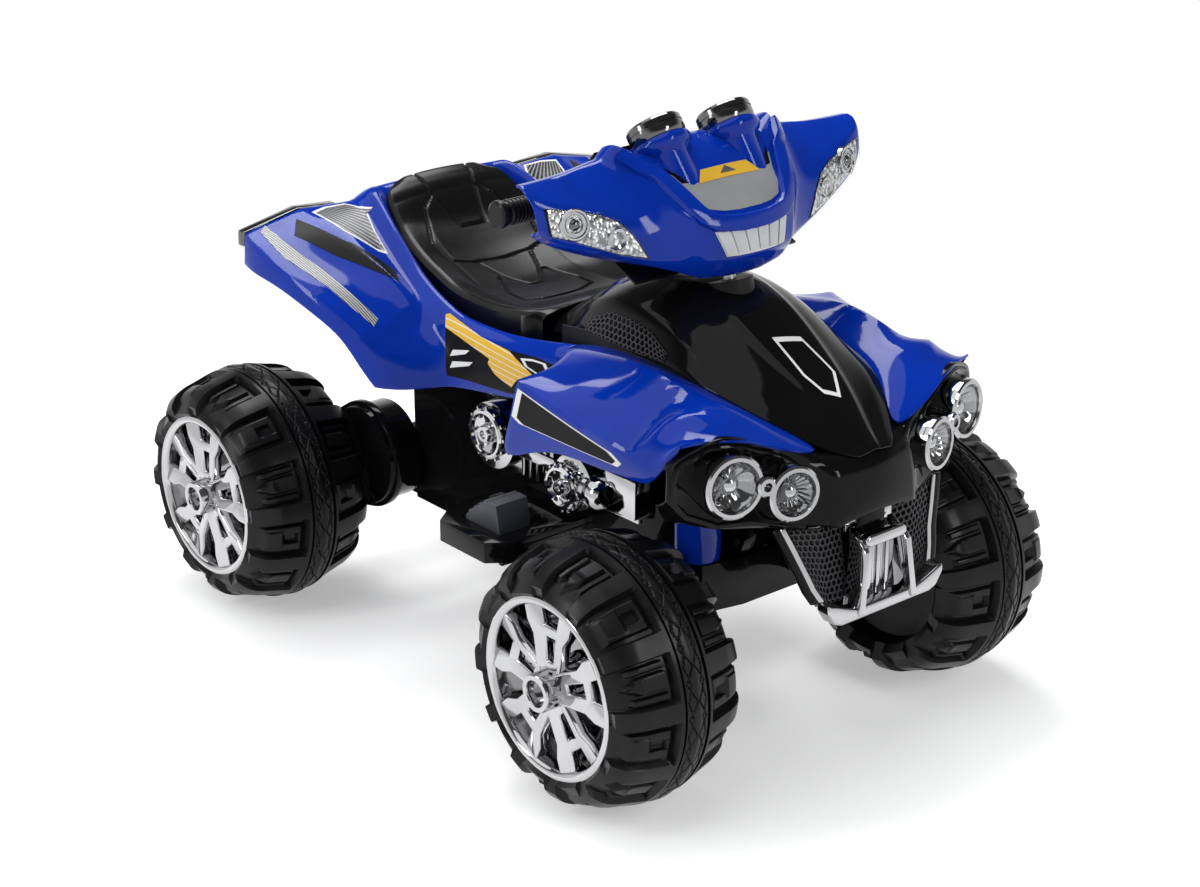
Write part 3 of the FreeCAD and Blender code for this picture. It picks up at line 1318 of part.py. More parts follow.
def oriented_box(middle, axis, width, height, depth):
    """Block with its depth along an axis in the vertical middle plane."""
    shape = Part.makeBox(width, height, depth, V(-width / 2, -height / 2, -depth / 2))
    side = V(0, 1, 0)
    rise = axis.cross(side)
    turn = FreeCAD.Rotation(side, rise, axis, "ZXY")
    shape.Placement = FreeCAD.Placement(middle, turn)
    return shape


def controls():
    """Two push buttons and a direction rocker in the dash."""
    travel, radius = size("button_travel"), size("button_diameter / 2")
    wall = size("shell_wall")
    for label, y in CONTROLS:
        middle, axis = dash_frame(y)
        stem = Part.makeCylinder(radius, wall + travel + 2, middle - axis * wall, axis)
        flange = Part.makeCylinder(radius + 3, 2, middle - axis * (wall + 2 + size("seat_gap")), axis)
        sub_part(feature(stem.fuse(flange).removeSplitter()), label)
    middle, axis = dash_frame(0)
    key = oriented_box(middle, axis, 22, 15, 2 * wall + 6)
    pivot = Part.makeCylinder(2, 40, middle - V(0, 20, 0), V(0, 1, 0))
    sub_part(feature(key.cut(pivot)), "direction_rocker")


def build():
    deck, fenders, tank, nose = body_shells()
    hood = fairing()
    wheels()
    rear_axle()
    front_beam()
    kingpins(fenders, tank)
    for side_name, sign in SIDES:
        knuckle(side_name, sign)
        gearbox(side_name, sign)
        engine_cover(side_name, sign)
    sub_part(fuse(*[motor(sign) for side_name, sign in SIDES]), "motors")
    tie_rod()
    chassis_tub(deck, tank)
    pedal()
    electrics()
    seat(deck)
    front_bumper()
    grille_mesh()
    bumper_bracket(nose)
    tail_trim(deck)
    tank_vents()
    sub_part(feature(hood), "handlebar_fairing")
    fairing_trim()
    dash_cover()
    controls()
    steering_shaft(hood)


def export():
    """Check every object, then write one file for each sub-part."""
    doc.recompute()
    failed = [obj.Label for obj in doc.Objects if "Invalid" in obj.State or "Error" in obj.State]
    for obj in SUB_PARTS:
        if obj.Shape.isNull() or not obj.Shape.isValid() or not obj.Shape.Solids:
            failed.append(obj.Label)
    if failed:
        raise RuntimeError("failed: " + ", ".join(failed))
    os.makedirs("parts", exist_ok=True)
    for obj in SUB_PARTS:
        obj.Shape.exportStep("parts/%s.step" % obj.Label)


build()
export()
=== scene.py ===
import math

import bmesh
import bpy
from bpy.props import FloatProperty, FloatVectorProperty, IntProperty, PointerProperty
from mathutils import Matrix, Vector
from mathutils.bvhtree import BVHTree


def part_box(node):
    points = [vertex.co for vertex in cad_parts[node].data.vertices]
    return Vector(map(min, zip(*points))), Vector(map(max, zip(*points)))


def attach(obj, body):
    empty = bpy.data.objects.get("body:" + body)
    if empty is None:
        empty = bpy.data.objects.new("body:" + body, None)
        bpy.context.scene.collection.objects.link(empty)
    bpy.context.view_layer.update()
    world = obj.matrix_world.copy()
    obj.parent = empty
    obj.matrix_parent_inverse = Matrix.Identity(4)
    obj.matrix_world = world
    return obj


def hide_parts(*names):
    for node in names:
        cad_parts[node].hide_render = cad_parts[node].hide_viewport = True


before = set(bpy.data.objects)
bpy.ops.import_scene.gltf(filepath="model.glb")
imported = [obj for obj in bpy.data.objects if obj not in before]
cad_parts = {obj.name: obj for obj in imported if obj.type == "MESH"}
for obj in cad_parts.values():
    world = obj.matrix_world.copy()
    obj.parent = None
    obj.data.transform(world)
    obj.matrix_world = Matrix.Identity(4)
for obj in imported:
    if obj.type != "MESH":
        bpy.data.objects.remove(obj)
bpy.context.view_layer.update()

bl_info = {
    "name": "Ride-on quad dresser",
    "version": (1, 0, 0),
    "blender": (4, 5, 0),
    "location": "3D View > Sidebar > Quad",
    "description": "Dresses the packed frame of a child's ride-on quad with its moulded shells and finishes",
    "category": "Object",
}

MM = 0.001
SIDES = (("right", -1), ("left", 1))


def middle_of(node):
    low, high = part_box(node)
    return (low + high) / 2


FRONT_AXLE = middle_of("tyre_front_right")
TYRE_LOW, TYRE_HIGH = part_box("tyre_front_right")
TYRE_RADIUS = (TYRE_HIGH.z - TYRE_LOW.z) / 2 / MM


def at(x, y, z):
    """Point from millimetres ahead of the front axle, left of the middle and above the floor."""
    return Vector((FRONT_AXLE.x + x * MM, y * MM, z * MM))


# Sizes and colours that a user would change

class QuadPaint(bpy.types.PropertyGroup):
    shell_blue: FloatVectorProperty(
        name="Gloss blue", description="Gloss blue of the body shells", subtype="COLOR", size=3,
        default=(0.001, 0.028, 0.34), min=0, max=1)
    gloss_black: FloatVectorProperty(
        name="Gloss black", description="Black of the tank cover, nose and tub", subtype="COLOR", size=3,
        default=(0.004, 0.004, 0.0045), min=0, max=1)
    tyre_black: FloatVectorProperty(
        name="Tyre black", description="Semi-matt black of the moulded tyres", subtype="COLOR", size=3,
        default=(0.006, 0.006, 0.006), min=0, max=1)
    chrome: FloatVectorProperty(
        name="Chrome", description="Tint of the bright trim", subtype="COLOR", size=3,
        default=(0.46, 0.46, 0.47), min=0, max=1)
    yellow: FloatVectorProperty(
        name="Decal yellow", description="Yellow of the bands and the screen tab", subtype="COLOR", size=3,
        default=(0.72, 0.42, 0.03), min=0, max=1)


class QuadWheels(bpy.types.PropertyGroup):
    lugs: IntProperty(
        name="Lugs", description="Tread bars on each half of a tyre", default=12, min=6, max=24)
    lug_depth: FloatProperty(
        name="Lug depth", description="Height of the tread bars above the pocket floors",
        subtype="DISTANCE", unit="LENGTH", default=0.0105, min=0.002, max=0.02)
    spokes: IntProperty(
        name="Spokes", description="Forked spokes of a wheel cover", default=5, min=3, max=9)
    hole: FloatProperty(
        name="Dish hole", description="Diameter of the holes in the dish patches",
        subtype="DISTANCE", unit="LENGTH", default=0.0026, min=0.001, max=0.006)


class QuadShells(bpy.types.PropertyGroup):
    wall: FloatProperty(
        name="Wall", description="Wall of the moulded shells", subtype="DISTANCE", unit="LENGTH",
        default=0.003, min=0.001, max=0.006)
    smooth: IntProperty(name="Smoothing", description="Subdivisions of a shell", default=2, min=1, max=3)
    edge: FloatProperty(
        name="Edge round", description="Rounding of moulded edges", subtype="DISTANCE", unit="LENGTH",
        default=0.0012, min=0.0002, max=0.005)
    mesh_cell: FloatProperty(
        name="Mesh cell", description="Pitch of the hexagon mesh", subtype="DISTANCE", unit="LENGTH",
        default=0.0078, min=0.003, max=0.02)


class QuadStage(bpy.types.PropertyGroup):
    lens: FloatProperty(name="Lens", description="Focal length of the camera", subtype="DISTANCE_CAMERA",
                        default=71.58, min=20, max=200)
    top_light: FloatProperty(name="Top light", description="Power of the overhead strip", subtype="POWER",
                             default=30, min=0, max=500)
    side_light: FloatProperty(name="Side light", description="Power of each side strip", subtype="POWER",
                              default=18, min=0, max=500)
    sky_light: FloatProperty(name="Sky light", description="Strength of the broad light from above",
                             default=1.3, min=0, max=10)
    ceiling: FloatProperty(name="Ceiling", description="Brightness of the dim ceiling in reflections",
                           subtype="FACTOR", default=0.1, min=0, max=1)
    floor_glow: FloatProperty(name="Floor glow", description="Glow that keeps the floor white to the eye",
                              default=0.38, min=0, max=1)


# Meshes, with the distance of doubles, the foot and chamfer of a raised band and the gauge of a film

SAME_PLACE = 1e-6
BAND_FOOT, BAND_CHAMFER = -0.6, 1.6
FILM_GAUGE, FILM_CUTS = 0.0003, 4


def mesh_from(points, faces):
    mesh = bpy.data.meshes.new("form")
    mesh.from_pydata([tuple(p) for p in points], [], faces)
    mesh.update()
    return mesh


def net(rows, round_trip=False):
    """Quads over rows of points; the outer side is where along crosses across."""
    width, count = len(rows[0]), len(rows)
    faces = []
    for i in range(count if round_trip else count - 1):
        for j in range(width - 1):
            a, b = i * width + j, (i + 1) % count * width + j
            faces.append((a, b, b + 1, a + 1))
    return mesh_from([p for row in rows for p in row], faces)


def creased(mesh, width, rows=None, columns=None, stretches=(), corners=()):
    """Mark whole rows and columns of a net as sharp, or stretches and corners of them."""
    points = mesh.attributes.new("crease_vert", "FLOAT", "POINT")
    for row, column in corners:
        points.data[row * width + column].value = 1.0
    layer = mesh.attributes.new("crease_edge", "FLOAT", "EDGE")
    for edge in mesh.edges:
        (row_a, col_a), (row_b, col_b) = sorted(divmod(v, width) for v in edge.vertices)
        kind, line, start, stop = "row", row_a, col_a, col_b
        if row_a != row_b:
            kind, line, start, stop = "column", col_a, row_a, row_b
        value = ((rows if kind == "row" else columns) or {}).get(line, 0)
        for way, number, first, last, sharp in stretches:
            if way == kind and number == line and first <= start and stop <= last:
                value = sharp
        layer.data[edge.index].value = value
    return mesh


def linked(name, data):
    thing = bpy.data.objects.new(name, data)
    bpy.context.scene.collection.objects.link(thing)
    return thing


def worked(mesh, *steps):
    """Plain mesh after a run of modifiers, each given as its kind and settings."""
    work = linked("work", mesh)
    for kind, values in steps:
        modifier = work.modifiers.new(kind, kind)
        for name, value in values.items():
            setattr(modifier, name, value)
    result = bpy.data.meshes.new_from_object(work.evaluated_get(bpy.context.evaluated_depsgraph_get()))
    bpy.data.objects.remove(work)
    return result


def subdivided(levels):
    return "SUBSURF", {"levels": levels, "render_levels": levels}


def walled(thickness, offset=-1):
    return "SOLIDIFY", {"thickness": thickness, "offset": offset}


def rounded(width, segments=2, angle=35):
    return "BEVEL", {"width": width, "segments": segments, "limit_method": "ANGLE",
                     "angle_limit": math.radians(angle)}


def shaded(mesh, angle=35):
    mesh.polygons.foreach_set("use_smooth", [True] * len(mesh.polygons))
    mesh.set_sharp_from_angle(angle=math.radians(angle))
    return mesh


def other_side(mesh):
    twin = mesh.copy()
    twin.transform(Matrix.Scale(-1, 4, (0, 1, 0)))
    twin.flip_normals()
    return twin


def joined(*meshes):
    work = bmesh.new()
    for mesh in meshes:
        work.from_mesh(mesh)
    return from_bmesh(work)


def both(mesh):
    return joined(mesh, other_side(mesh))


def from_bmesh(work):
    mesh = bpy.data.meshes.new("form")
    work.to_mesh(mesh)
    work.free()
    return mesh


def cleaned(mesh, outward=True):
    """Doubles merged and faces turned outwards."""
    work = bmesh.new()
    work.from_mesh(mesh)
    bmesh.ops.remove_doubles(work, verts=work.verts, dist=SAME_PLACE)
    if outward:
        bmesh.ops.recalc_face_normals(work, faces=work.faces)
    return from_bmesh(work)


def moved(mesh, matrix):
    mesh.transform(matrix)
    return mesh


def facing(origin, outward, upward=Vector((0, 0, 1))):
    """Matrix with Z along a direction and Y as near upward as it can be."""
    z = Vector(outward).normalized()
    x = Vector(upward).cross(z).normalized()
    y = z.cross(x)
    return Matrix.Translation(origin) @ Matrix((x, y, z)).transposed().to_4x4()


def sized(profile, radius):
    """Turned profile from shares of a radius and additions, first for the radius, then for the height."""
    return [(a * radius + b, c * radius + d) for a, b, c, d in profile]


def lathe(profile, segments=48):
    """Turned form about Z through radius and height in millimetres, outer side listed upwards."""
    rows = []
    for k in range(segments):
        turn = 2 * math.pi * k / segments
        rows.append([Vector((r * math.cos(turn), r * math.sin(turn), h)) * MM for r, h in profile])
    return cleaned(net(rows, round_trip=True), outward=False)


def prism(outline, depth):
    """Plate with its outline in X and Y, in millimetres, and its thickness up Z."""
    work = bmesh.new()
    face = work.faces.new([work.verts.new((x * MM, y * MM, 0)) for x, y in outline])
    grown = bmesh.ops.extrude_face_region(work, geom=[face])
    lifted = [item for item in grown["geom"] if isinstance(item, bmesh.types.BMVert)]
    bmesh.ops.translate(work, verts=lifted, vec=(0, 0, depth * MM))
    bmesh.ops.recalc_face_normals(work, faces=work.faces)
    return from_bmesh(work)


def bar(length, width, height, edge=0.001):
    """Rounded block about its middle."""
    x, y = length / 2, width / 2
    block = prism(((-x, -y), (x, -y), (x, y), (-x, y)), height)
    return worked(moved(block, Matrix.Translation((0, 0, -height * MM / 2))), rounded(edge))


def softened(node, width, angle=30):
    """Copy of a CAD node with its edges rounded."""
    work = bmesh.new()
    work.from_mesh(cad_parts[node].data)
    bmesh.ops.remove_doubles(work, verts=work.verts, dist=SAME_PLACE)
    bmesh.ops.dissolve_limit(work, angle_limit=math.radians(1), verts=work.verts, edges=work.edges)
    return worked(from_bmesh(work), rounded(width, 2, angle))


def mirrored_rows(rows):
    return [[(x, -y, z) for x, y, z in row] for row in rows[:0:-1]] + rows


def mirrored_columns(rows):
    return [[(x, -y, z) for x, y, z in row[:0:-1]] + list(row) for row in rows]


def surface(rows, row_creases=None, column_creases=None, stretches=(), corners=()):
    """Smooth sheet over a net of millimetre points."""
    levels = bpy.context.scene.quad_shells.smooth
    mesh = net([[at(*p) for p in row] for row in rows])
    creased(mesh, len(rows[0]), row_creases, column_creases, stretches, corners)
    return worked(mesh, subdivided(levels))


def shell_of(sheet):
    """Moulded wall under a sheet, with rounded rims."""
    shells = bpy.context.scene.quad_shells
    return shaded(worked(sheet, walled(shells.wall), rounded(shells.edge, 2, 50)), 40)


def piece(name, mesh, material, body="chassis", slot=None, replaces=()):
    """Object at the origin that rides a body and stands for CAD nodes."""
    thing = linked(name, mesh)
    mesh.name = name
    mesh.materials.clear()
    mesh.materials.append(material)
    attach(thing, body)
    if replaces:
        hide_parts(*replaces)
    return thing


def tree_of(mesh):
    corners = [v.co.copy() for v in mesh.vertices]
    return BVHTree.FromPolygons(corners, [list(p.vertices) for p in mesh.polygons])


def shrunk(outline, share):
    middle = sum((Vector(p) for p in outline), Vector()) / len(outline)
    return [middle + (Vector(p) - middle) * share for p in outline]


def raised_band(path, half_width, height, sheet, closed=False):
    """Moulded band with chamfered edges along a path of millimetre points on a sheet."""
    tree = tree_of(sheet)
    line = [tree.find_nearest(at(*p))[0] for p in path]
    count = len(line)
    top = half_width - BAND_CHAMFER
    section = ((-half_width, BAND_FOOT), (-top, height), (top, height), (half_width, BAND_FOOT))
    rows = []
    for k, spot in enumerate(line):
        before = line[(k - 1) % count if closed else max(0, k - 1)]
        after = line[(k + 1) % count if closed else min(count - 1, k + 1)]
        normal = tree.find_nearest(spot)[1]
        side = (after - before).cross(normal).normalized()
        row = []
        for away, lift in section:
            row.append(tree.find_nearest(spot + side * away * MM)[0] + normal * lift * MM)
        rows.append(row)
    return net(rows, round_trip=closed)


def on_sheet(tree, place):
    """Matrix at the spot of a sheet nearest to a millimetre point, facing out of it."""
    spot, normal = tree.find_nearest(at(*place))[:2]
    return facing(spot, normal)


def decal(outline, sheet, lift):
    """Thin film on a sheet inside an outline of millimetre points."""
    work = bmesh.new()
    work.faces.new([work.verts.new(at(*p)) for p in outline])
    bmesh.ops.triangulate(work, faces=work.faces)
    for _ in range(FILM_CUTS):
        bmesh.ops.subdivide_edges(work, edges=work.edges[:], cuts=1, use_grid_fill=True)
    tree = tree_of(sheet)
    for vert in work.verts:
        spot, normal = tree.find_nearest(vert.co)[:2]
        vert.co = spot + normal * lift
    film = from_bmesh(work)
    aligned = sum(p.normal.dot(tree.find_nearest(p.center)[1]) for p in film.polygons)
    if aligned < 0:
        film.flip_normals()
    return shaded(worked(film, walled(FILM_GAUGE)), 40)


def lay_films(films, sheet, body, slot, twin=False):
    """Films on a sheet as name, finish, outlines and lift, on one side or on both."""
    for name, finish, outlines, lift in films:
        film = joined(*[decal(outline, sheet, lift) for outline in outlines])
        piece(name, both(film) if twin else film, finishes()[finish], body, slot)


# Node trees

def feed(tree, made, inputs):
    """Inputs of a node set to values or linked to sockets."""
    for name, value in inputs.items():
        if isinstance(value, bpy.types.NodeSocket):
            tree.links.new(value, made.inputs[name])
        else:
            made.inputs[name].default_value = value


def new_node(tree, kind, inputs=None, **settings):
    """New node with its settings and inputs."""
    made = tree.nodes.new(kind)
    for name, value in settings.items():
        setattr(made, name, value)
    feed(tree, made, inputs or {})
    return made


def math_node(tree, operation, *values):
    """Result of an operation on sockets and numbers."""
    return new_node(tree, "ShaderNodeMath", dict(enumerate(values)), operation=operation).outputs[0]


def node_array(name, build):
    """Geometry tree whose group input is a mesh and named sizes, filled in by build."""
    group = bpy.data.node_groups.new(name, "GeometryNodeTree")
    group.interface.new_socket("Geometry", in_out="INPUT", socket_type="NodeSocketGeometry")
    group.interface.new_socket("Geometry", in_out="OUTPUT", socket_type="NodeSocketGeometry")
    source, sink = new_node(group, "NodeGroupInput"), new_node(group, "NodeGroupOutput")
    paint = new_node(group, "GeometryNodeSetMaterial", {"Geometry": build(group, source)})
    group.links.new(paint.outputs["Geometry"], sink.inputs[0])
    return group


def ring_tree():
    """Copies of a mesh turned about Y, joined where they meet."""
    def build(group, source):
        for name, kind, value in (("Count", "Int", 6), ("Weld", "Float", 0.00002)):
            socket = group.interface.new_socket(name, in_out="INPUT", socket_type="NodeSocket" + kind)
            socket.default_value = value
        count = source.outputs["Count"]
        line = new_node(group, "GeometryNodeMeshLine", {"Count": count, "Offset": (0, 0, 0)})
        share = math_node(group, "DIVIDE", new_node(group, "GeometryNodeInputIndex").outputs[0], count)
        angle = math_node(group, "MULTIPLY", share, 2 * math.pi)
        turn = new_node(group, "ShaderNodeCombineXYZ", {"Y": angle})
        spread = new_node(group, "GeometryNodeInstanceOnPoints", {
            "Points": line.outputs["Mesh"], "Instance": source.outputs["Geometry"],
            "Rotation": turn.outputs[0]})
        real = new_node(group, "GeometryNodeRealizeInstances", {"Geometry": spread.outputs["Instances"]})
        weld = new_node(group, "GeometryNodeMergeByDistance", {
            "Geometry": real.outputs["Geometry"], "Distance": source.outputs["Weld"]})
        return weld.outputs["Geometry"]
    return node_array("Ring of copies", build)


def scatter_tree():
    """Copies of a stamp on the points of a mesh, turned to the points' normals."""
    def build(group, source):
        stamp = group.interface.new_socket("Stamp", in_out="INPUT", socket_type="NodeSocketObject")
        stamp.description = "Object that is copied"
        fetch = new_node(group, "GeometryNodeObjectInfo", {"Object": source.outputs["Stamp"]})
        lean = new_node(group, "GeometryNodeInputNamedAttribute", {"Name": "lean"}, data_type="FLOAT_VECTOR")
        inputs = {"Vector": lean.outputs["Attribute"]}
        align = new_node(group, "FunctionNodeAlignRotationToVector", inputs, axis="Z")
        spread = new_node(group, "GeometryNodeInstanceOnPoints", {
            "Points": source.outputs["Geometry"], "Instance": fetch.outputs["Geometry"],
            "Rotation": align.outputs[0]})
        real = new_node(group, "GeometryNodeRealizeInstances", {"Geometry": spread.outputs["Instances"]})
        return real.outputs["Geometry"]
    return node_array("Stamps on points", build)


def grown(mesh, group, material, **values):
    """Plain mesh from a geometry tree, with its named inputs set by identifier."""
    work = linked("work", mesh)
    for made in group.nodes:
        if made.bl_idname == "GeometryNodeSetMaterial":
            made.inputs["Material"].default_value = material
    modifier = work.modifiers.new("Tree", "NODES")
    modifier.node_group = group
    for item in group.interface.items_tree:
        if item.in_out == "INPUT" and item.name in values:
            modifier[item.identifier] = values[item.name]
    result = bpy.data.meshes.new_from_object(work.evaluated_get(bpy.context.evaluated_depsgraph_get()))
    bpy.data.objects.remove(work)
    return result


def ring_of(mesh, count, material):
    return grown(mesh, ring_tree(), material, Count=count)


def stamped(points, normals, stamp_mesh, material):
    """Copies of a small shape at points, facing along their normals."""
    stamp = linked("stamp", stamp_mesh)
    seats = mesh_from(points, [])
    lean = seats.attributes.new("lean", "FLOAT_VECTOR", "POINT")
    for item, normal in zip(lean.data, normals):
        item.vector = normal
    result = grown(seats, scatter_tree(), material, Stamp=stamp)
    bpy.data.objects.remove(stamp)
    return result


# Finishes: scales, stops and spreads of drifting colour, gloss and facets, then striped films

DRIFT_SCALE, GLOSS_SCALE, FACET_SCALE = 14, 55, 210
FACET_GLOSS_SCALE, FACET_DEPTH = 60, 0.0012
# FACET_STOPS place the painted glint, bright at a facet's middle and dark at its edge
DRIFT_STOPS, FACET_STOPS = (0.3, 0.7), (0.25, 0.75)
GLOSS_SPREAD, FACET_GLOSS = (0.8, 1.2), (0.1, 0.22)
STRIPE_SOFT = 0.06
FILM_TEXTURE = 0.3, 900, 0.00001


def object_coords(tree):
    return new_node(tree, "ShaderNodeTexCoord").outputs["Object"]


def noise(tree, scale, detail=2.0):
    inputs = {"Vector": object_coords(tree), "Scale": scale, "Detail": detail}
    return new_node(tree, "ShaderNodeTexNoise", inputs).outputs["Fac"]


def ramp(tree, source, *stops):
    """Two colours laid along a value, each stop a position and a colour."""
    made = new_node(tree, "ShaderNodeValToRGB", {"Fac": source})
    for element, (position, tint) in zip(made.color_ramp.elements, stops):
        element.position = position
        element.color = (*tint, 1)
    return made.outputs["Color"]


def ranged(tree, source, low, high):
    inputs = {"Value": source, "To Min": low, "To Max": high}
    return new_node(tree, "ShaderNodeMapRange", inputs).outputs["Result"]


def scaled(tint, factor):
    return tuple(min(1, channel * factor) for channel in tint)


def new_finish(name):
    material = bpy.data.materials.new(name)
    material.use_nodes = True
    tree = material.node_tree
    return material, tree, tree.nodes["Principled BSDF"]


def moulded(name, base, roughness, grain=900, depth=0.00002, drift=0.12, **sockets):
    """Finish with drifting colour, uneven gloss and a fine grain."""
    material, tree, shader = new_finish(name)
    stops = zip(DRIFT_STOPS, (scaled(base, 1 - drift), scaled(base, 1 + drift)))
    feed(tree, shader, {"Base Color": ramp(tree, noise(tree, DRIFT_SCALE), *stops)})
    textured(tree, shader, roughness, grain, depth)
    feed(tree, shader, {socket.replace("_", " "): value for socket, value in sockets.items()})
    return material


def textured(tree, shader, roughness, grain, depth):
    """Uneven gloss and a fine grain on a shader."""
    low, high = (roughness * share for share in GLOSS_SPREAD)
    gloss = ranged(tree, noise(tree, GLOSS_SCALE, 4), low, high)
    relief = new_node(tree, "ShaderNodeBump", {"Distance": depth, "Height": noise(tree, grain, 3)})
    feed(tree, shader, {"Roughness": gloss, "Normal": relief.outputs["Normal"]})


def mirrored_coords(tree, centre):
    """Object coordinates about a point, the same on both sides of the middle."""
    split = new_node(tree, "ShaderNodeSeparateXYZ", {"Vector": object_coords(tree)}).outputs
    away = math_node(tree, "ABSOLUTE", split["Y"])
    merge = new_node(tree, "ShaderNodeCombineXYZ", {"X": split["X"], "Y": away, "Z": split["Z"]})
    inputs = {"Vector": merge.outputs["Vector"], "Location": tuple(-c for c in centre)}
    return new_node(tree, "ShaderNodeMapping", inputs).outputs["Vector"]


def striped(name, first, second, pitch, centre=(0, 0, 0), across=None, share=0.5):
    """Decal of fine lines in two colours, level with a direction or fanned out from a point."""
    material, tree, shader = new_finish(name)
    coords = mirrored_coords(tree, centre)
    if across:
        measure = new_node(tree, "ShaderNodeVectorMath", {0: coords, 1: across}, operation="DOT_PRODUCT")
        source = measure.outputs["Value"]
    else:
        swirl = new_node(tree, "ShaderNodeTexGradient", {"Vector": coords}, gradient_type="RADIAL")
        source = swirl.outputs["Fac"]
    wave = math_node(tree, "PINGPONG", source, pitch)
    spread = new_node(tree, "ShaderNodeMapRange", {"Value": wave, "From Max": pitch})
    stops = (share - STRIPE_SOFT, first), (share + STRIPE_SOFT, second)
    feed(tree, shader, {"Base Color": ramp(tree, spread.outputs["Result"], *stops)})
    textured(tree, shader, *FILM_TEXTURE)
    return material


def pebbled_painted_glint(name, bright, dark):
    """Bright reflector of small facets, with a painted glint on each: its colour is bright at a facet's
    middle and dark at its edges.
    """
    material, tree, shader = new_finish(name)
    cells = new_node(tree, "ShaderNodeTexVoronoi", {"Vector": object_coords(tree), "Scale": FACET_SCALE})
    height = cells.outputs["Distance"]
    relief = new_node(tree, "ShaderNodeBump", {"Distance": FACET_DEPTH, "Height": height})
    # Painted glint: colour bright in each facet's middle and dark at its edges
    tint = ramp(tree, height, *zip(FACET_STOPS, (bright, dark)))
    gloss = ranged(tree, noise(tree, FACET_GLOSS_SCALE), *FACET_GLOSS)
    feed(tree, shader, {
        "Base Color": tint, "Normal": relief.outputs["Normal"], "Roughness": gloss, "Metallic": 0.8})
    return material


# Where the fanned lines meet, and the directions across the other lines
FAN_CENTRE = tuple(at(-660, 215, 0))
BAND_ACROSS = (0.229, 0.973, 0)
LINES_ACROSS = (0.1, 0, 1)
FINISHES = {}


def finishes():
    """Every finish of the quad, made once."""
    if FINISHES:
        return FINISHES
    paint = bpy.context.scene.quad_paint
    blue, black, yellow = tuple(paint.shell_blue), tuple(paint.gloss_black), tuple(paint.yellow)
    chrome = tuple(paint.chrome)
    low = {"Specular_IOR_Level": 0.2}
    FINISHES.update({
        "blue": moulded("Gloss blue", blue, 0.07, depth=0.000003, Specular_IOR_Level=0.24),
        "black": moulded("Gloss black", black, 0.07, depth=0.000003, Specular_IOR_Level=0.15),
        "satin": moulded("Satin black", scaled(black, 1.3), 0.24, grain=1400, depth=0.00002, **low),
        "matte": moulded("Matt black", black, 0.5, grain=1100, depth=0.00003, **low),
        "tyre": moulded("Tyre black", tuple(paint.tyre_black), 0.3, grain=1600, depth=0.00002, **low),
        "chrome": moulded("Chrome", chrome, 0.06, depth=0.000004, drift=0.06, Metallic=1.0),
        "dark_chrome": moulded("Dark chrome", scaled(chrome, 0.34), 0.1, depth=0.000006, Metallic=1.0),
        "steel": moulded("Zinc steel", (0.4, 0.4, 0.39), 0.3, grain=700, depth=0.00002, Metallic=1.0),
        "grey": moulded("Grey plastic", (0.085, 0.09, 0.1), 0.4, **low),
        "mesh_grey": moulded("Mesh grey", (0.05, 0.045, 0.05), 0.25, **low),
        "rubber": moulded("Grip rubber", (0.008, 0.008, 0.009), 0.3, grain=1500, depth=0.00003, **low),
        "white": moulded("White decal", (0.8, 0.8, 0.8), 0.3, drift=0.04),
        "silver": moulded("Silver decal", (0.36, 0.37, 0.38), 0.3, drift=0.15, Metallic=0.3),
        "yellow": moulded("Yellow decal", yellow, 0.3),
        "decal_black": moulded("Black decal", (0.004, 0.004, 0.005), 0.3, Specular_IOR_Level=0.1),
        "fan_lines": striped("Fanned lines", (0.30, 0.31, 0.32), (0.008, 0.008, 0.01), 0.0036, FAN_CENTRE,
                             share=0.36),
        "band_lines": striped("Band lines", (0.42, 0.43, 0.44), (0.02, 0.02, 0.022), 0.0014,
                              across=BAND_ACROSS, share=0.6),
        "yellow_lines": striped("Lined yellow", yellow, (0.7, 0.68, 0.6), 0.0032, across=LINES_ACROSS,
                                share=0.84),
        # Chrome darkened as painted shade for the recessed wheel dishes and lamp bowls
        "recess_shade_chrome": moulded("Dish chrome", scaled(chrome, 0.62), 0.08, depth=0.000005, Metallic=1.0),
        # Reflector whose colour carries painted glints on its facets
        "pebbled_painted_glint": pebbled_painted_glint("Pebbled reflector", scaled(chrome, 1.5), scaled(chrome, 0.5)),
        "red": moulded("Red button", (0.5, 0.02, 0.015), 0.3),
        "milk": moulded("Milk lens", (0.75, 0.77, 0.78), 0.2, Transmission_Weight=0.2),
        "clear": moulded("Clear lens", (0.97, 0.98, 0.98), 0.02, depth=0.000002, drift=0.01,
                         Transmission_Weight=1.0, IOR=1.08),
    })
    return FINISHES


# Wheels

# Crown of the lugs as shares of the radius against millimetres from the middle
CROWN = ((0, 1.0), (20, 0.972), (40, 0.938), (55, 0.915), (65, 0.89), (73, 0.86), (80, 0.812),
         (84.5, 0.765))
PROFILE_STEPS = 56
BAND_STEPS = 26
TILE_COLUMNS = 128
TYRE_HALF = 84.4
BAND_CLEAR, BAND_FILL = 4, 0.98
# Inside of the tyre: radius of hub bore and web, drop from the lip to well and bead, and their offsets
HUB_BORE, WEB, WELL_DROP, BEAD_DROP, BEAD_INSET = 24, 70, 8, 5, 8
HUB_BACK, WEB_BACK, WELL_BACK = -40, -44, -54
HUB_FRONT, WELL_FRONT = 10, 20
# Middle band with its zigzag lines, grooves and rings, in millimetres and shares of the lug depth
BAND_HALF, BAND_LEVEL = 14, -0.12
ZIGZAGS, ZIGZAG_LINES = 4, ((1, 10), (11, -5))
LINE_DROP, LINE_HALF = 0.2, 0.8
GROOVE_WIDE, GROOVE_LEVEL, GROOVE_EDGES = 3, -0.6, (0.2, 2.8, 3.2)
RING_HALF = 23
SHARP, POCKET_SOFT = 0.03, 1.5
LUG_SHARE = 0.32
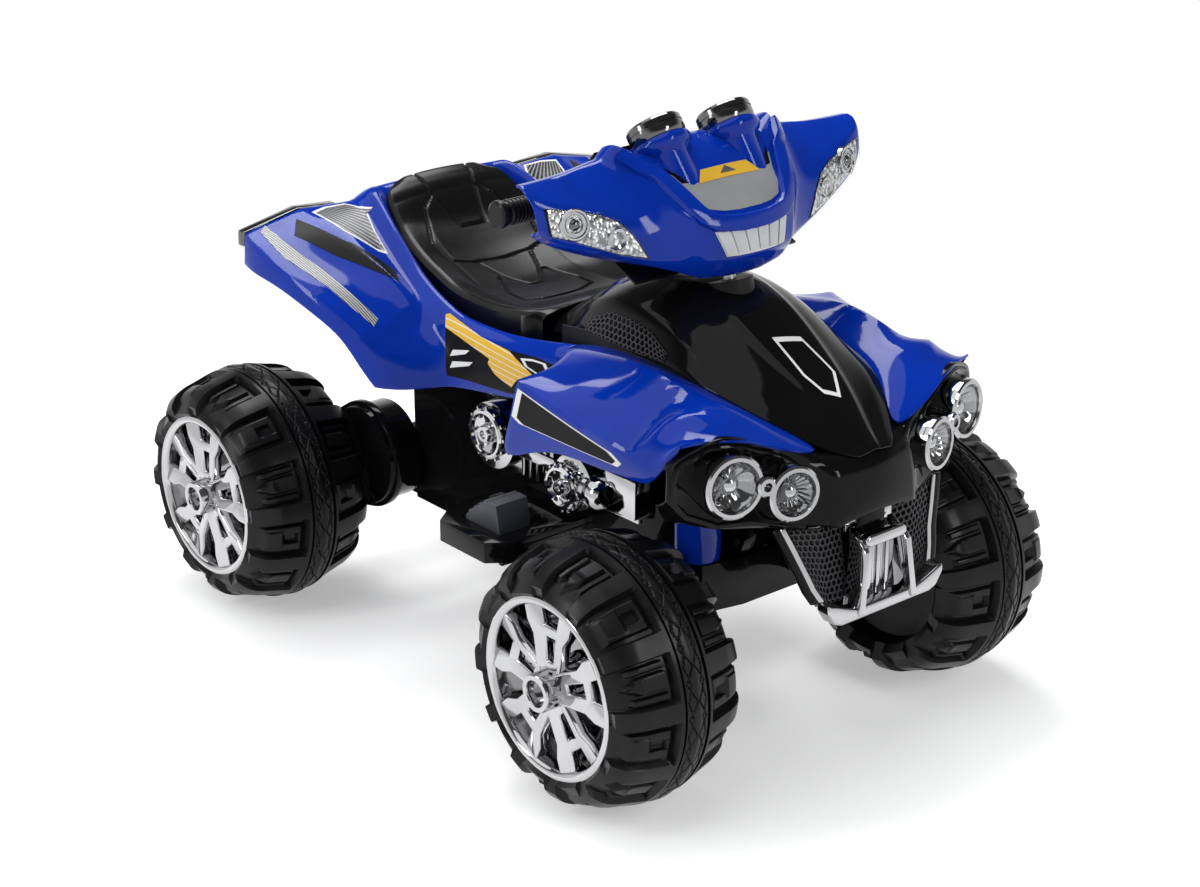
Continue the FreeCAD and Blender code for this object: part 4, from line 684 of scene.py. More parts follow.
# Pockets between the lugs: half widths as shares of a pitch, spans in millimetres from the middle
ARROW_HALF, ARROW_NECK, ARROW_TAPER, ARROW_SPAN = 0.13, 58, 0.008, (RING_HALF + 5, 75)
ARROW_RIDGE, RIDGE_SPAN = 0.1, (54, 58)
BARS, BARS_SPAN = (0.19, 0.285), (RING_HALF + 5, 68)
BLOCK_HALF, BLOCK_SPAN = 0.24, (RING_HALF + 4, 74)
SLOT_HALF, SLOT_SPAN = 0.09, (RING_HALF + 9, 48)
TOP_HALF, TOP_SPAN = 0.17, (52, 70)
ARROW_RISE, BARS_RISE, RIDGE_RISE = 0.55, 0.5, 0.14
BLOCK_RISE, SLOT_DROP, TOP_RISE = 0.5, 0.6, 0.22


def interpolated(table, value):
    for (x0, y0), (x1, y1) in zip(table, table[1:]):
        if value <= x1:
            return y0 + (y1 - y0) * (value - x0) / (x1 - x0)
    return table[-1][1]


def step(value, edge, soft):
    """Ramp from 0 to 1 across a soft edge."""
    share = min(1, max(0, (value - edge) / soft + 0.5))
    return share * share * (3 - 2 * share)


def within(value, low, high, soft):
    return step(value, low, soft) * (1 - step(value, high, soft))


def pad(away, near, half, span):
    """Share of a raised patch about the middle of a pocket."""
    return (1 - step(near, half, SHARP)) * within(away, *span, POCKET_SOFT)


def arrow_pocket(away, near):
    """Pocket with an arrow between two bars."""
    arrow = pad(away, near, ARROW_HALF - ARROW_TAPER * max(0, away - ARROW_NECK), ARROW_SPAN)
    bars = within(near, *BARS, SHARP) * within(away, *BARS_SPAN, POCKET_SOFT)
    ridge = pad(away, near, ARROW_RIDGE, RIDGE_SPAN)
    return -1.0 + ARROW_RISE * arrow + BARS_RISE * bars + RIDGE_RISE * ridge


def slot_pocket(away, near):
    """Pocket with a block that has a slot by the ring and a step beyond it."""
    block = pad(away, near, BLOCK_HALF, BLOCK_SPAN)
    slot = pad(away, near, SLOT_HALF, SLOT_SPAN)
    top = pad(away, near, TOP_HALF, TOP_SPAN)
    return -1.0 + BLOCK_RISE * block - SLOT_DROP * slot + TOP_RISE * top


def tread_height(offset, phase):
    """Height of the tread under the lug tops, from -1 at the deepest grooves to 0, over two pitches."""
    away = abs(offset)
    lane = (phase - (0.5 if offset < 0 else 0)) % 2
    inside = lane % 1
    if away < BAND_HALF:
        zigzag = abs((phase * ZIGZAGS) % 2 - 1)
        line = min(abs(away - start - swing * zigzag) for start, swing in ZIGZAG_LINES)
        return BAND_LEVEL - LINE_DROP * (1 - step(line, LINE_HALF, 1.0))
    if away < BAND_HALF + GROOVE_WIDE:
        return GROOVE_LEVEL
    if away < RING_HALF:
        return 0.0
    on_lug = within(inside, 0.0, LUG_SHARE, SHARP) + step(inside, 1.0, SHARP)
    near = abs(inside - (1 + LUG_SHARE) / 2)
    pocket = arrow_pocket(away, near) if lane >= 1 else slot_pocket(away, near)
    return pocket * (1 - on_lug)


def polar(radius, offset, turn):
    """Point about the Y axis, turning from plus Z towards plus X."""
    return Vector((radius * math.sin(turn), offset, radius * math.cos(turn))) * MM


def tyre_tile(half_width, lip_radius):
    """Two pitches of the moulded tyre about the Y axis, outboard towards plus Y."""
    wheels = bpy.context.scene.quad_wheels
    depth = wheels.lug_depth / MM
    pitch = 2 * math.pi / wheels.lugs
    offsets = [-half_width + 2 * half_width * k / PROFILE_STEPS for k in range(PROFILE_STEPS + 1)]
    offsets = [offset for offset in offsets if abs(offset) > BAND_HALF + BAND_CLEAR]
    offsets += [BAND_HALF * (2 * k / BAND_STEPS - 1) * BAND_FILL for k in range(BAND_STEPS + 1)]
    offsets = sorted(offsets + [s * (BAND_HALF + d) for s in (-1, 1) for d in GROOVE_EDGES])
    well, bead, side = lip_radius - WELL_DROP, lip_radius - BEAD_DROP, half_width - BEAD_INSET
    bore = [(HUB_BORE, HUB_BACK), (WEB, WEB_BACK), (well, WELL_BACK), (bead, -side)]
    back = [(bead, side), (well, WELL_FRONT), (WEB, HUB_FRONT), (HUB_BORE, HUB_FRONT), bore[0]]
    rows = []
    for column in range(TILE_COLUMNS + 1):
        phase = 2 * column / TILE_COLUMNS
        turn = phase * pitch
        row = [polar(radius, offset, turn) for radius, offset in bore]
        for offset in offsets:
            height = depth * tread_height(offset, phase)
            row.append(polar(TYRE_RADIUS * interpolated(CROWN, abs(offset)) + height, offset, turn))
        rows.append(row + [polar(radius, offset, turn) for radius, offset in back])
    return net(rows)


# Spoke: millimetres from the axle, half slot and half width; the slots between some stations stay open
SPOKE = ((16, 3, 16), (30, 4.5, 18), (57, 7, 23), (70, 10, 33), (93, 15, 39))
SPOKE_SOLID = (True, False, True, False)
SPOKE_FACE = 79
SPOKE_DEPTH = 13
SPOKE_SINK = 5
LIP = ((86, 62), (96, 62), (97, 77), (96, 80.5), (93.5, 82), (90, 81.5), (87, 79), (85.5, 75), (86, 62))
BOSS = ((0, 34), (27, 34), (24, 40), (23, 70), (21.5, 74), (21, 93), (20, 95), (15, 95), (14, 93),
        (14, 84), (0, 83))
DISH = ((0, 20), (60, 22), (92, 44), (95, 60), (95, 76), (86, 76), (83, 64), (70, 42), (44, 32),
        (0, 30))
ALONG_Y = Matrix.Rotation(math.radians(-90), 4, "X")
# Radius past which the turned forms follow the lip, and their segments
STRETCH_FROM, COVER_SEGMENTS = 80, 80
# Holes of the dish: rings from a radius outwards, spacing along a ring, half width of a patch and lean
HOLE_RINGS, HOLE_START, HOLE_PITCH = 7, 48, 4.6
HOLE_STEP, HOLE_REACH, HOLE_LIFT, HOLE_DEPTH = 4.4, 6, 0.15, 0.2
PATCH_BASE, PATCH_SPREAD = 4, 0.36
DISH_BEND = 70
DISH_RUN = ((44, 32), (DISH_BEND, 42), (82.5, 66))
INNER_LEAN, OUTER_LEAN = (-10, 26), (-24, 12.5)


def turned_cover(profile, lip_radius):
    """Turned form on the wheel's axis, stretched to the lip."""
    grow = lip_radius - LIP[1][0]
    stretched = [(r + grow if r > STRETCH_FROM else r, h) for r, h in profile]
    return moved(lathe(stretched, COVER_SEGMENTS), ALONG_Y)


def spoke_mesh():
    """Spoke of two bars, a cross plate and a fork, sunk towards its open slots."""
    points, faces = [], []
    for radius, slot, outer in SPOKE:
        sunk = SPOKE_FACE - SPOKE_SINK
        section = ((-outer, SPOKE_FACE), (-slot, sunk), (slot, sunk), (outer, SPOKE_FACE))
        points += [Vector((across, face, radius)) * MM for across, face in section]
    for k, solid in enumerate(SPOKE_SOLID):
        for column in (0, 1, 2) if solid else (0, 2):
            a = 4 * k + column
            faces.append((a, a + 4, a + 5, a + 1))
    return worked(mesh_from(points, faces), walled(SPOKE_DEPTH * MM), rounded(0.0026, 3))


def dish_holes(spokes):
    """Places and directions of the holes in the dish patches between the spokes."""
    points, normals = [], []
    for patch in range(spokes):
        for ring in range(HOLE_RINGS):
            radius = HOLE_START + HOLE_PITCH * ring
            height = interpolated(DISH_RUN, radius) + HOLE_LIFT
            lean = INNER_LEAN if radius < DISH_BEND else OUTER_LEAN
            for k in range(-HOLE_REACH, HOLE_REACH + 1):
                if abs(k * HOLE_STEP) > PATCH_BASE + PATCH_SPREAD * radius:
                    continue
                turn = 2 * math.pi * (patch + 0.5) / spokes + k * HOLE_STEP / radius
                points.append(polar(radius, height, turn))
                normals.append(polar(*lean, turn).normalized())
    return points, normals


def placed_wheel(mesh, end, side, sign):
    """Copy of a master wheel form on its axle, outboard side out."""
    spot = middle_of("tyre_%s_%s" % (end, side))
    turn = Matrix.Identity(4) if sign > 0 else Matrix.Rotation(math.pi, 4, "Z")
    return moved(mesh.copy(), Matrix.Translation(spot) @ turn)


def dress_wheels():
    """Tyres, covers and dishes of the four wheels."""
    paint = finishes()
    wheels = bpy.context.scene.quad_wheels
    half_width = min(TYRE_HALF, (TYRE_HIGH.y - TYRE_LOW.y) / 2 / MM)
    cover_low, cover_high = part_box("wheel_cover_front_right")
    lip = (cover_high.z - cover_low.z) / 2 / MM
    tyre = shaded(ring_of(tyre_tile(half_width, lip), wheels.lugs // 2, paint["tyre"]), 32)
    spokes = ring_of(spoke_mesh(), wheels.spokes, paint["chrome"])
    bright = [turned_cover(profile, lip) for profile in (LIP, BOSS)]
    cover = shaded(joined(*bright, spokes), 40)
    dish = shaded(turned_cover(DISH, lip), 40)
    hole = wheels.hole / MM / 2
    dot = lathe(((0, -HOLE_DEPTH), (hole, -HOLE_DEPTH), (hole, 0), (0, 0)), 8)
    # Black dots in place of the dish holes: their dark is painted shade inside each hole
    holes = stamped(*dish_holes(wheels.spokes), dot, paint["matte"])
    forms = (
        ("tyre_look", tyre, "tyre", "tyre_black", ["tyre"]),
        ("cover_look", cover, "chrome", "chrome_trim", ["wheel_cover", "hub_cap"]),
        # The dish's darker chrome is painted shade in the recess between the spokes
        ("dish_look", dish, "recess_shade_chrome", "chrome_trim", []),
        # The black dots are painted shade in the dish holes
        ("cover_holes", holes, "matte", "black_matte", []),
    )
    for end in ("front", "rear"):
        for side, sign in SIDES:
            tail = "_%s_%s" % (end, side)
            for name, mesh, finish, slot, nodes in forms:
                look = placed_wheel(mesh, end, side, sign)
                stands_for = [node + tail for node in nodes]
                piece(name + tail, look, paint[finish], "wheel" + tail, slot, stands_for)


# Shells: millimetres ahead of the front axle, then places from the middle outwards

REAR_SHELL = (
    (-620, ((0, 488), (60, 487), (88, 486), (98, 486), (108, 485),
            (122, 480), (194, 482), (226, 476), (272, 468), (274, 450))),
    (-618, ((0, 516), (60, 515), (88, 513), (98, 513), (108, 511),
            (122, 503), (194, 507), (226, 500), (274, 491), (277, 454))),
    (-604, ((0, 523), (60, 522), (90, 521), (100, 521), (110, 517),
            (124, 503), (193, 503), (227, 494), (276, 486), (279, 451))),
    (-590, ((0, 505), (55, 506), (88, 510), (102, 518), (111, 516),
            (125, 500), (191, 499), (228, 490), (276, 481), (279, 448))),
    (-575, ((0, 470), (55, 472), (90, 478), (104, 511), (112, 511),
            (126, 494), (189, 495), (227, 484), (275, 474), (278, 446))),
    (-548, ((0, 440), (60, 442), (96, 450), (110, 496), (118, 496),
            (131, 479), (183, 484), (218, 471), (271, 463), (274, 440))),
    (-520, ((0, 420), (60, 422), (101, 428), (115, 480), (123, 480),
            (137, 464), (175, 472), (208, 458), (265, 451), (269, 430))),
    (-490, ((0, 403), (60, 405), (104, 411), (120, 462), (128, 463),
            (142, 448), (167, 457), (196, 446), (257, 436), (261, 416))),
    (-460, ((0, 390), (60, 392), (106, 398), (124, 446), (132, 447),
            (147, 433), (160, 441), (184, 432), (246, 417), (250, 398))),
    (-438, ((0, 384), (60, 386), (107, 391), (126, 437), (134, 438),
            (149, 423), (160, 424), (186, 412), (236, 399), (241, 366))),
    (-422, ((0, 381), (60, 383), (108, 387), (126, 431), (135, 431),
            (150, 416), (160, 408), (190, 393), (226, 381), (232, 342))),
    (-400, ((0, 378), (60, 380), (109, 384), (127, 424), (136, 424),
            (150, 407), (158, 392), (176, 376), (198, 357), (204, 337))),
    (-380, ((0, 376), (60, 378), (109, 382), (127, 420), (136, 420),
            (150, 402), (153, 386), (156, 370), (160, 352), (162, 340))),
    (-360, ((0, 376), (60, 378), (108, 382), (126, 418), (135, 418),
            (149, 400), (152, 385), (154, 370), (155, 354), (155, 342))),
    (-290, ((0, 376), (60, 378), (106, 382), (122, 416), (131, 416),
            (146, 399), (150, 384), (152, 370), (151, 358), (150, 350))),
    (-196, ((0, 376), (55, 380), (96, 388), (111, 430), (120, 431),
            (134, 415), (140, 396), (142, 382), (142, 372), (141, 362))),
)
RIDGE, FOLD = 6, 8

TANK = (
    (-284, ((0, 441), (26, 440), (32, 437), (48, 436), (66, 430), (84, 412))),
    (-245, ((0, 470), (30, 468), (36, 465), (56, 460), (76, 450), (94, 427))),
    (-205, ((0, 493), (32, 491), (39, 487), (58, 483), (80, 473), (100, 442))),
    (-165, ((0, 507), (34, 505), (41, 501), (62, 496), (84, 483), (105, 441))),
    (-130, ((0, 513), (36, 510), (43, 506), (64, 500), (86, 485), (107, 441))),
    (-95, ((0, 513), (38, 509), (45, 505), (66, 498), (88, 482), (108, 440))),
    (-60, ((0, 508), (38, 504), (45, 500), (66, 493), (88, 476), (108, 438))),
    (-20, ((0, 493), (38, 488), (45, 484), (66, 477), (89, 461), (108, 435))),
    (20, ((0, 469), (35, 464), (42, 460), (62, 453), (84, 442), (104, 430))),
    (60, ((0, 445), (29, 441), (36, 437), (54, 431), (76, 425), (93, 418))),
    (95, ((0, 421), (21, 418), (28, 414), (42, 410), (58, 406), (72, 401))),
    (125, ((0, 399), (10, 397), (17, 393), (27, 391), (38, 389), (50, 385))),
    (150, ((0, 382), (4, 382), (8, 381), (14, 381), (20, 380), (26, 379))),
)


def stations(table):
    """Rows of points from stations along the length, both sides."""
    return mirrored_columns([[(x, y, z) for y, z in places] for x, places in table])


def both_columns(width, columns):
    """Crease table for both halves of mirrored columns."""
    last = width - 1
    return {spot: value for column, value in columns.items() for spot in (last - column, last + column)}


# Films on the right flank of the rear shell
TAIL_PANEL = ((-605, -188, 503), (-611, -167, 504), (-610, -138, 503), (-577, -119, 503),
              (-578, -126, 497), (-551, -135, 482), (-515, -142, 463), (-520, -152, 467),
              (-559, -174, 488))
TAIL_STRIPE = ((-605, -210, 499), (-579, -200, 493), (-487, -151, 450), (-468, -160, 444),
               (-533, -202, 468), (-583, -228, 487))
TAIL_BAND = ((-616, -247, 495), (-578, -243, 482), (-549, -235, 469), (-520, -226, 456),
             (-492, -220, 442), (-465, -213, 428), (-446, -207, 414), (-442, -216, 408),
             (-451, -220, 414), (-473, -230, 429), (-504, -238, 446), (-533, -248, 459),
             (-561, -258, 471), (-582, -259, 481), (-609, -258, 491))
FLANK_BLACK = ((-393, -149, 406), (-378, -160, 353), (-276, -150, 357), (-206, -142, 371),
               (-204, -137, 406), (-238, -139, 408), (-281, -142, 405), (-335, -142, 407))
FLANK_YELLOW = ((-402, -142, 417), (-397, -139, 418), (-335, -142, 407), (-283, -142, 404),
                (-239, -145, 389), (-262, -148, 377), (-271, -149, 366), (-298, -151, 374),
                (-312, -150, 383), (-311, -149, 389), (-393, -149, 405))
FLANK_RING = ((-262, -144, 402), (-244, -141, 405), (-222, -138, 405), (-214, -139, 398),
              (-217, -141, 388), (-238, -143, 392), (-252, -145, 395))
FLANK_CHEVRONS = (((-374, -154, 384), (-346, -151, 390), (-352, -152, 384), (-377, -156, 376)),
                  ((-372, -157, 371), (-338, -151, 378), (-344, -152, 372), (-374, -159, 363)))


def dress_rear_shell():
    """Rear shell with the films on its tail and flanks."""
    paint = finishes()
    rows = stations(REAR_SHELL)
    width = len(REAR_SHELL[0][1])
    lower = [("row", row, first, first + 3, 0.6) for row in (9, 10) for first in (0, 2 * width - 5)]
    creases = both_columns(width, {2: 0.5, 5: 0.4, RIDGE: 0.85, 7: 0.5, FOLD: 0.9})
    sheet = surface(rows, {1: 0.9}, creases, lower)
    piece("rear_shell_look", shell_of(sheet), paint["blue"], "chassis", "blue_shell", ["rear_body_shell"])
    films = (
        ("tail_panel_edge", "white", [TAIL_PANEL], 0.0003),
        ("tail_panel", "fan_lines", [shrunk(TAIL_PANEL, 0.9)], 0.0007),
        ("tail_stripe", "decal_black", [TAIL_STRIPE], 0.0004),
        ("tail_band", "band_lines", [TAIL_BAND], 0.0004),
        ("flank_black", "decal_black", [FLANK_BLACK], 0.0004),
        ("flank_yellow", "yellow_lines", [FLANK_YELLOW], 0.0008),
        ("flank_ring", "white", [FLANK_RING], 0.0008),
        ("flank_ring_centre", "decal_black", [shrunk(FLANK_RING, 0.72)], 0.0012),
        ("flank_chevrons", "white", FLANK_CHEVRONS, 0.0008),
    )
    lay_films(films, sheet, "chassis", "blue_shell", twin=True)


# Side vents of the tank: top and foot of the mesh
VENTS = (((-198, 96, 456), (-198, 103, 443)), ((-165, 92, 471), (-165, 106, 443)),
         ((-130, 95, 472), (-130, 108, 443)), ((-95, 97, 468), (-95, 108.5, 443)),
         ((-62, 103, 453), (-62, 107.5, 443)))
# White outline on the tank's front panel
TANK_MARK = ((12, -20, 472), (20, 14, 467), (66, 22, 438), (92, 4, 420), (84, -12, 427), (60, -20, 442))
# Skirt under each side of the tank: along, then foot and top
SKIRT = ((-236, 366, 440), (-196, 358, 444), (-150, 362, 446), (-96, 366, 443), (-16, 372, 436))
SKIRT_SIDE = 103


def dress_tank():
    """Tank cover with its side vents, white outline and skirts."""
    paint = finishes()
    skirt = net([[at(x, SKIRT_SIDE, z) for z in (foot, (foot + top) / 2, top)] for x, foot, top in SKIRT])
    skirts = both(worked(skirt, walled(0.003, 0), rounded(0.001)))
    piece("tank_skirts", shaded(skirts, 35), paint["matte"], "chassis", "black_gloss")
    rows = stations(TANK)
    sheet = surface(rows, {}, both_columns(len(TANK[0][1]), {1: 0.9, 2: 0.9, 4: 0.5}))
    piece("tank_look", shell_of(sheet), paint["black"], "chassis", "black_gloss", ["tank_cover"])
    cell = bpy.context.scene.quad_shells.mesh_cell
    mesh = both(other_side(hex_mesh(VENTS, cell)))
    piece("vent_mesh", shaded(mesh, 30), paint["mesh_grey"], "chassis", "black_gloss", ["tank_vents"])
    films = (("tank_mark", "white", [TANK_MARK], 0.0004),
             ("tank_mark_centre", "black", [shrunk(TANK_MARK, 0.84)], 0.0008))
    lay_films(films, sheet, "chassis", "black_gloss")


# Front shell: lines from the rear edge to the nose, each from the tank out over the wing and down its side
FENDER = (
    ((-190, 123, 434), (-168, 150, 440), (-140, 190, 436),
     (-150, 236, 429), (-163, 236, 383), (-185, 235, 327)),
    ((-150, 114, 440), (-128, 148, 448), (-110, 194, 437),
     (-118, 235, 421), (-126, 233, 377), (-138, 232, 349)),
    ((-100, 109, 440), (-86, 150, 454), (-82, 196, 438),
     (-78, 233, 412), (-92, 230, 371), (-93, 229, 364)),
    ((-40, 109, 437), (-36, 154, 461), (-36, 210, 422),
     (-32, 229, 402), (-36, 226, 369), (-37, 224, 362)),
    ((10, 106, 431), (14, 152, 450), (20, 208, 404),
     (16, 224, 389), (12, 221, 370), (12, 219, 363)),
    ((60, 94, 418), (52, 140, 448), (46, 190, 440),
     (42, 219, 410), (46, 221, 371), (46, 219, 364)),
    ((96, 72, 401), (88, 120, 425), (76, 160, 432),
     (62, 196, 430), (66, 219, 402), (66, 217, 394)),
    ((127, 50, 383), (123, 100, 397), (111, 140, 414),
     (97, 180, 422), (83, 213, 420), (81, 212, 412)),
)

# Folds of the front shell: kind of line, its number, first and last point, and sharpness
FENDER_FOLDS = (("column", 3, 0, 4, 0.95), ("column", 2, 1, 4, 0.85), ("column", 1, 0, 4, 0.6),
                ("row", 4, 0, 3, 0.85), ("column", 2, 4, 7, 0.5))
# Film on the right front wing
WING_FILM = ((-149, -236, 420), (-9, -226, 387), (5, -225, 378), (-1, -224, 373), (-149, -235, 380),
             (-160, -236, 386))

# Nose and lamp pods: millimetres from the middle, then underside, chin, face, brow and top places
NOSE = (
    (0, ((105, 312), (152, 316), (163, 319), (163, 345), (158, 366), (148, 379), (118, 388))),
    (30, ((100, 310), (150, 313), (161, 317), (160, 345), (154, 366), (143, 379), (104, 387))),
    (57, ((94, 306), (146, 307), (157, 311), (154, 345), (146, 368), (132, 380), (92, 385))),
    (66, ((90, 306), (136, 308), (147, 313), (142, 345), (136, 370), (127, 384), (86, 388))),
    (107, ((80, 310), (122, 314), (132, 321), (116, 346), (115, 384), (117, 400), (72, 404))),
    (145, ((70, 312), (106, 317), (116, 324), (97, 352), (99, 398), (108, 418), (60, 416))),
    (175, ((60, 314), (92, 319), (101, 326), (83, 356), (88, 406), (102, 426), (48, 421))),
    (207, ((54, 326), (70, 332), (77, 338), (80, 370), (82, 402), (89, 412), (62, 404))),
    (225, ((60, 350), (70, 354), (76, 360), (78, 376), (77, 390), (76, 396), (68, 390))),
)
NOSE_EDGES = ((2, 0.95), (3, 0.8), (7, 0.8))
POD_SECTION = 5, 3
POD_EDGE = ((134, -84, 317), (128, -110, 320), (114, -145, 325), (99, -175, 328), (80, -202, 338),
            (76, -216, 354), (78, -218, 378), (80, -210, 398), (90, -182, 412), (103, -150, 407),
            (119, -112, 390), (122, -90, 374), (127, -86, 346))

# Lamps: place, radius and the number of ribs or facets in the bowl
LAMPS = (((119, 172, 375), 33, 12), ((139, 107, 357), 29, 24), ((131, 139, 371), 10, 8))
LAMP_TOE, LAMP_TILT = math.radians(13), 0.04
# Turned lamp forms as shares of the radius and additions, and the bowl as shares of radius and depth
LAMP_BARREL = ((0, 0, 0, -34), (1, -3, 0, -34), (1, -1, 0, -30), (1, -1, 0, -5), (1, 1, 0, -3),
               (1, 1, 0, 2), (1, -1, 0, 4), (1, -5, 0, 4), (0.8, 0, 0, 1), (0.79, 0, 0, -6),
               (0, 0, 0, -28))
LAMP_DOME = ((0, 0, -0.45, 0), (0.34, 0, -0.45, 0), (0.32, 0, -0.3, 0), (0.24, 0, -0.17, 0),
             (0.12, 0, -0.1, 0), (0, 0, -0.08, 0))
LAMP_LENS = ((0, 0, 0, 2), (0.6, 0, 0, 1), (0.79, 0, 0, 0), (0.8, 0, 0, 1), (0.7, 0, 0.08, 0),
             (0.35, 0, 0.15, 0), (0, 0, 0.17, 0))
BOWL = ((1.0, 0), (0.94, 0.25), (0.7, 0.62), (0.45, 0.86), (0.2, 1.0), (0.0, 1.0))
BOWL_SHARE, BOWL_DEPTH = 0.79, 0.45
RIB_HEIGHT, RIB_SPAN = 0.9, (0.3, 0.97)


def dress_front_shell():
    """Front shell with the films on its wings."""
    paint = finishes()
    sheet = surface(FENDER, {0: 0.6}, {4: 0.9}, FENDER_FOLDS)
    look = both(shell_of(sheet))
    piece("front_shell_look", look, paint["blue"], "chassis", "blue_shell", ["front_body_shell"])
    films = (("wing_edge", "white", [WING_FILM], 0.0004),
             ("wing_film", "decal_black", [shrunk(WING_FILM, 0.9)], 0.0008))
    lay_films(films, other_side(sheet), "chassis", "blue_shell", twin=True)


def dress_nose():
    """Nose with a raised band round each lamp pod."""
    half = [[(x, y, z) for x, z in places] for y, places in NOSE]
    last = len(NOSE) - 1
    edges = [("row", last + s * row, 0, 4, sharp) for s in (-1, 1) for row, sharp in NOSE_EDGES]
    sheet = surface(mirrored_rows(half), {}, {1: 0.9, 2: 0.95, 4: 0.7, 5: 0.9}, edges)
    frame_band = worked(raised_band(POD_EDGE, *POD_SECTION, sheet, closed=True), rounded(0.0008))
    look = joined(shell_of(sheet), both(shaded(frame_band, 40)))
    piece("nose_look", look, finishes()["black"], "chassis", "black_gloss", ["front_fascia"])


def ribbed_bowl(radius, ribs, depth, segments=96):
    """Lamp bowl with ribs fading out towards its rim."""
    rows = []
    for k in range(segments):
        turn = 2 * math.pi * k / segments
        wave = RIB_HEIGHT * abs(math.sin(ribs * turn / 2))
        row = []
        for share, drop in BOWL:
            r = radius * share
            lift = wave if RIB_SPAN[0] < share < RIB_SPAN[1] else 0
            row.append(Vector((r * math.cos(turn), r * math.sin(turn), lift - depth * drop)) * MM)
        rows.append(row)
    return cleaned(net(rows, round_trip=True), outward=False)


def lamp_place(place, sign):
    x, y, z = place
    axis = Vector((math.cos(LAMP_TOE), sign * math.sin(LAMP_TOE), LAMP_TILT))
    return facing(at(x, sign * y, z), axis)


def dress_lamps():
    """Two lamps and a repeater in each pod, with ribbed bowls and mirror domes."""
    paint = finishes()
    barrels, bowls, domes, lenses = [], [], [], []
    for place, radius, ribs in LAMPS:
        barrel = lathe(sized(LAMP_BARREL, radius), 64)
        bowl = ribbed_bowl(BOWL_SHARE * radius, ribs, BOWL_DEPTH * radius)
        dome = lathe(sized(LAMP_DOME, radius), 32)
        lens = lathe(sized(LAMP_LENS, radius), 48)
        for sign in (-1, 1):
            for forms, form in ((barrels, barrel), (bowls, bowl), (domes, dome), (lenses, lens)):
                forms.append(moved(form.copy(), lamp_place(place, sign)))
    barrel_look = shaded(joined(*barrels, *domes), 30)
    piece("lamp_barrels", barrel_look, paint["chrome"], "chassis", "chrome_trim", ["lamp_reflectors"])
    # The bowls' darker chrome is painted shade deep inside the lamps
    piece("lamp_bowls", shaded(joined(*bowls), 30), paint["recess_shade_chrome"], "chassis", "chrome_trim")
    lens_look = shaded(joined(*lenses), 60)
    piece("lamp_lenses_look", lens_look, paint["clear"], "chassis", "clear_lens", ["lamp_lenses"])


# Bumper: half outlines, across and up, of the bar and the rail, then the blades and the strips

BAR_HALF = ((66, 208), (77, 212), (87, 227), (86, 236), (73, 231), (58, 225), (45, 221))
BAR_FACE, BAR_DEPTH = 156, 19
RAIL_HALF = ((24, 284), (30, 287), (30, 294), (24, 297))
RAIL_FACE, RAIL_DEPTH = 158, 14
BLADE = ((146, 300), (169, 286), (174, 280), (178, 214), (170, 207), (152, 207), (150, 280))
BLADE_TOP, BLADE_FOOT, BLADE_THICK = 24, 36, 8
STRIP_INWARD = (0.1, -1, 0)
STRIP = ((128, 117, 316), (136, 107, 291), (143, 97, 266), (150, 91, 247), (156, 84, 233))
# Width and thickness of the strips and their dark borders, and how far a border stands back and out
STRIP_SECTION, BORDER_SECTION = (7, 5), (10, 5)
BORDER_BACK, BORDER_OUT = 1, 9
# Blocks of the bumper as length, width, height and place, then top and foot of the grille
PANEL = (5, 50, 66), (156, 0, 252)
PANEL_BANDS = [((5, 7, 62), (159, y, 252)) for y in (-13, 0, 13)]
TOP_PLATE = (8, 70, 15), (140, 0, 302)
GRILLE = (((134, 34, 303), (150, 34, 222)), ((138, 66, 306), (152, 66, 226)),
          ((130, 106, 312), (152, 84, 238)))
BACKING_BACK = 5


def across_x(depth_at):
    """Matrix that stands an outline of across and up on the length, with its thickness forwards."""
    upright = Matrix(((0, 0, 1), (1, 0, 0), (0, 1, 0))).to_4x4()
    return Matrix.Translation((at(depth_at, 0, 0).x, 0, 0)) @ upright


def ribbon(points, width, thickness):
    """Strip along points, spread inwards, with its thickness under it."""
    inward = Vector(STRIP_INWARD) * width * MM
    rows = [[at(*p) for p in points], [at(*p) + inward for p in points]]
    return worked(net(rows), walled(thickness * MM, 0), rounded(0.0012))


def hex_mesh(corner_rows, cell, rim=0.74):
    """Hexagon mesh laid over a strip of corner pairs, top and bottom, with open cells."""
    spans = [(at(*top), at(*low)) for top, low in corner_rows]
    lengths = [(b[0] - a[0]).length for a, b in zip(spans, spans[1:])]
    total = sum(lengths)
    height = max((top - low).length for top, low in spans)

    def spot(u, v):
        for (a, b), length in zip(zip(spans, spans[1:]), lengths):
            if u <= length or length is lengths[-1]:
                share = min(1, u / length)
                top, low = a[0].lerp(b[0], share), a[1].lerp(b[1], share)
                return low.lerp(top, v / height)
            u -= length

    points, faces = [], []
    pitch_up = cell * math.sqrt(3) / 2
    for row in range(int(height / pitch_up) + 1):
        for column in range(int(total / cell) + 1):
            middle = Vector(((column + 0.5 * (row % 2)) * cell, row * pitch_up))
            if middle.x > total or middle.y > height:
                continue
            first = len(points)
            for size in (1 / math.sqrt(3), rim / math.sqrt(3)):
                for k in range(6):
                    turn = math.pi * (k / 3 + 1 / 6)
                    corner = middle + Vector((math.cos(turn), math.sin(turn))) * size * cell
                    points.append(spot(min(total, max(0, corner.x)), min(height, max(0, corner.y))))
            for k in range(6):
                n = (k + 1) % 6
                faces.append((first + k, first + n, first + 6 + n, first + 6 + k))
    return worked(cleaned(mesh_from(points, faces), outward=False), walled(0.0012, 0))


def across_pair(outline):
    """Whole outline from its right half."""
    return list(outline) + [(-y, z) for y, z in reversed(outline)]


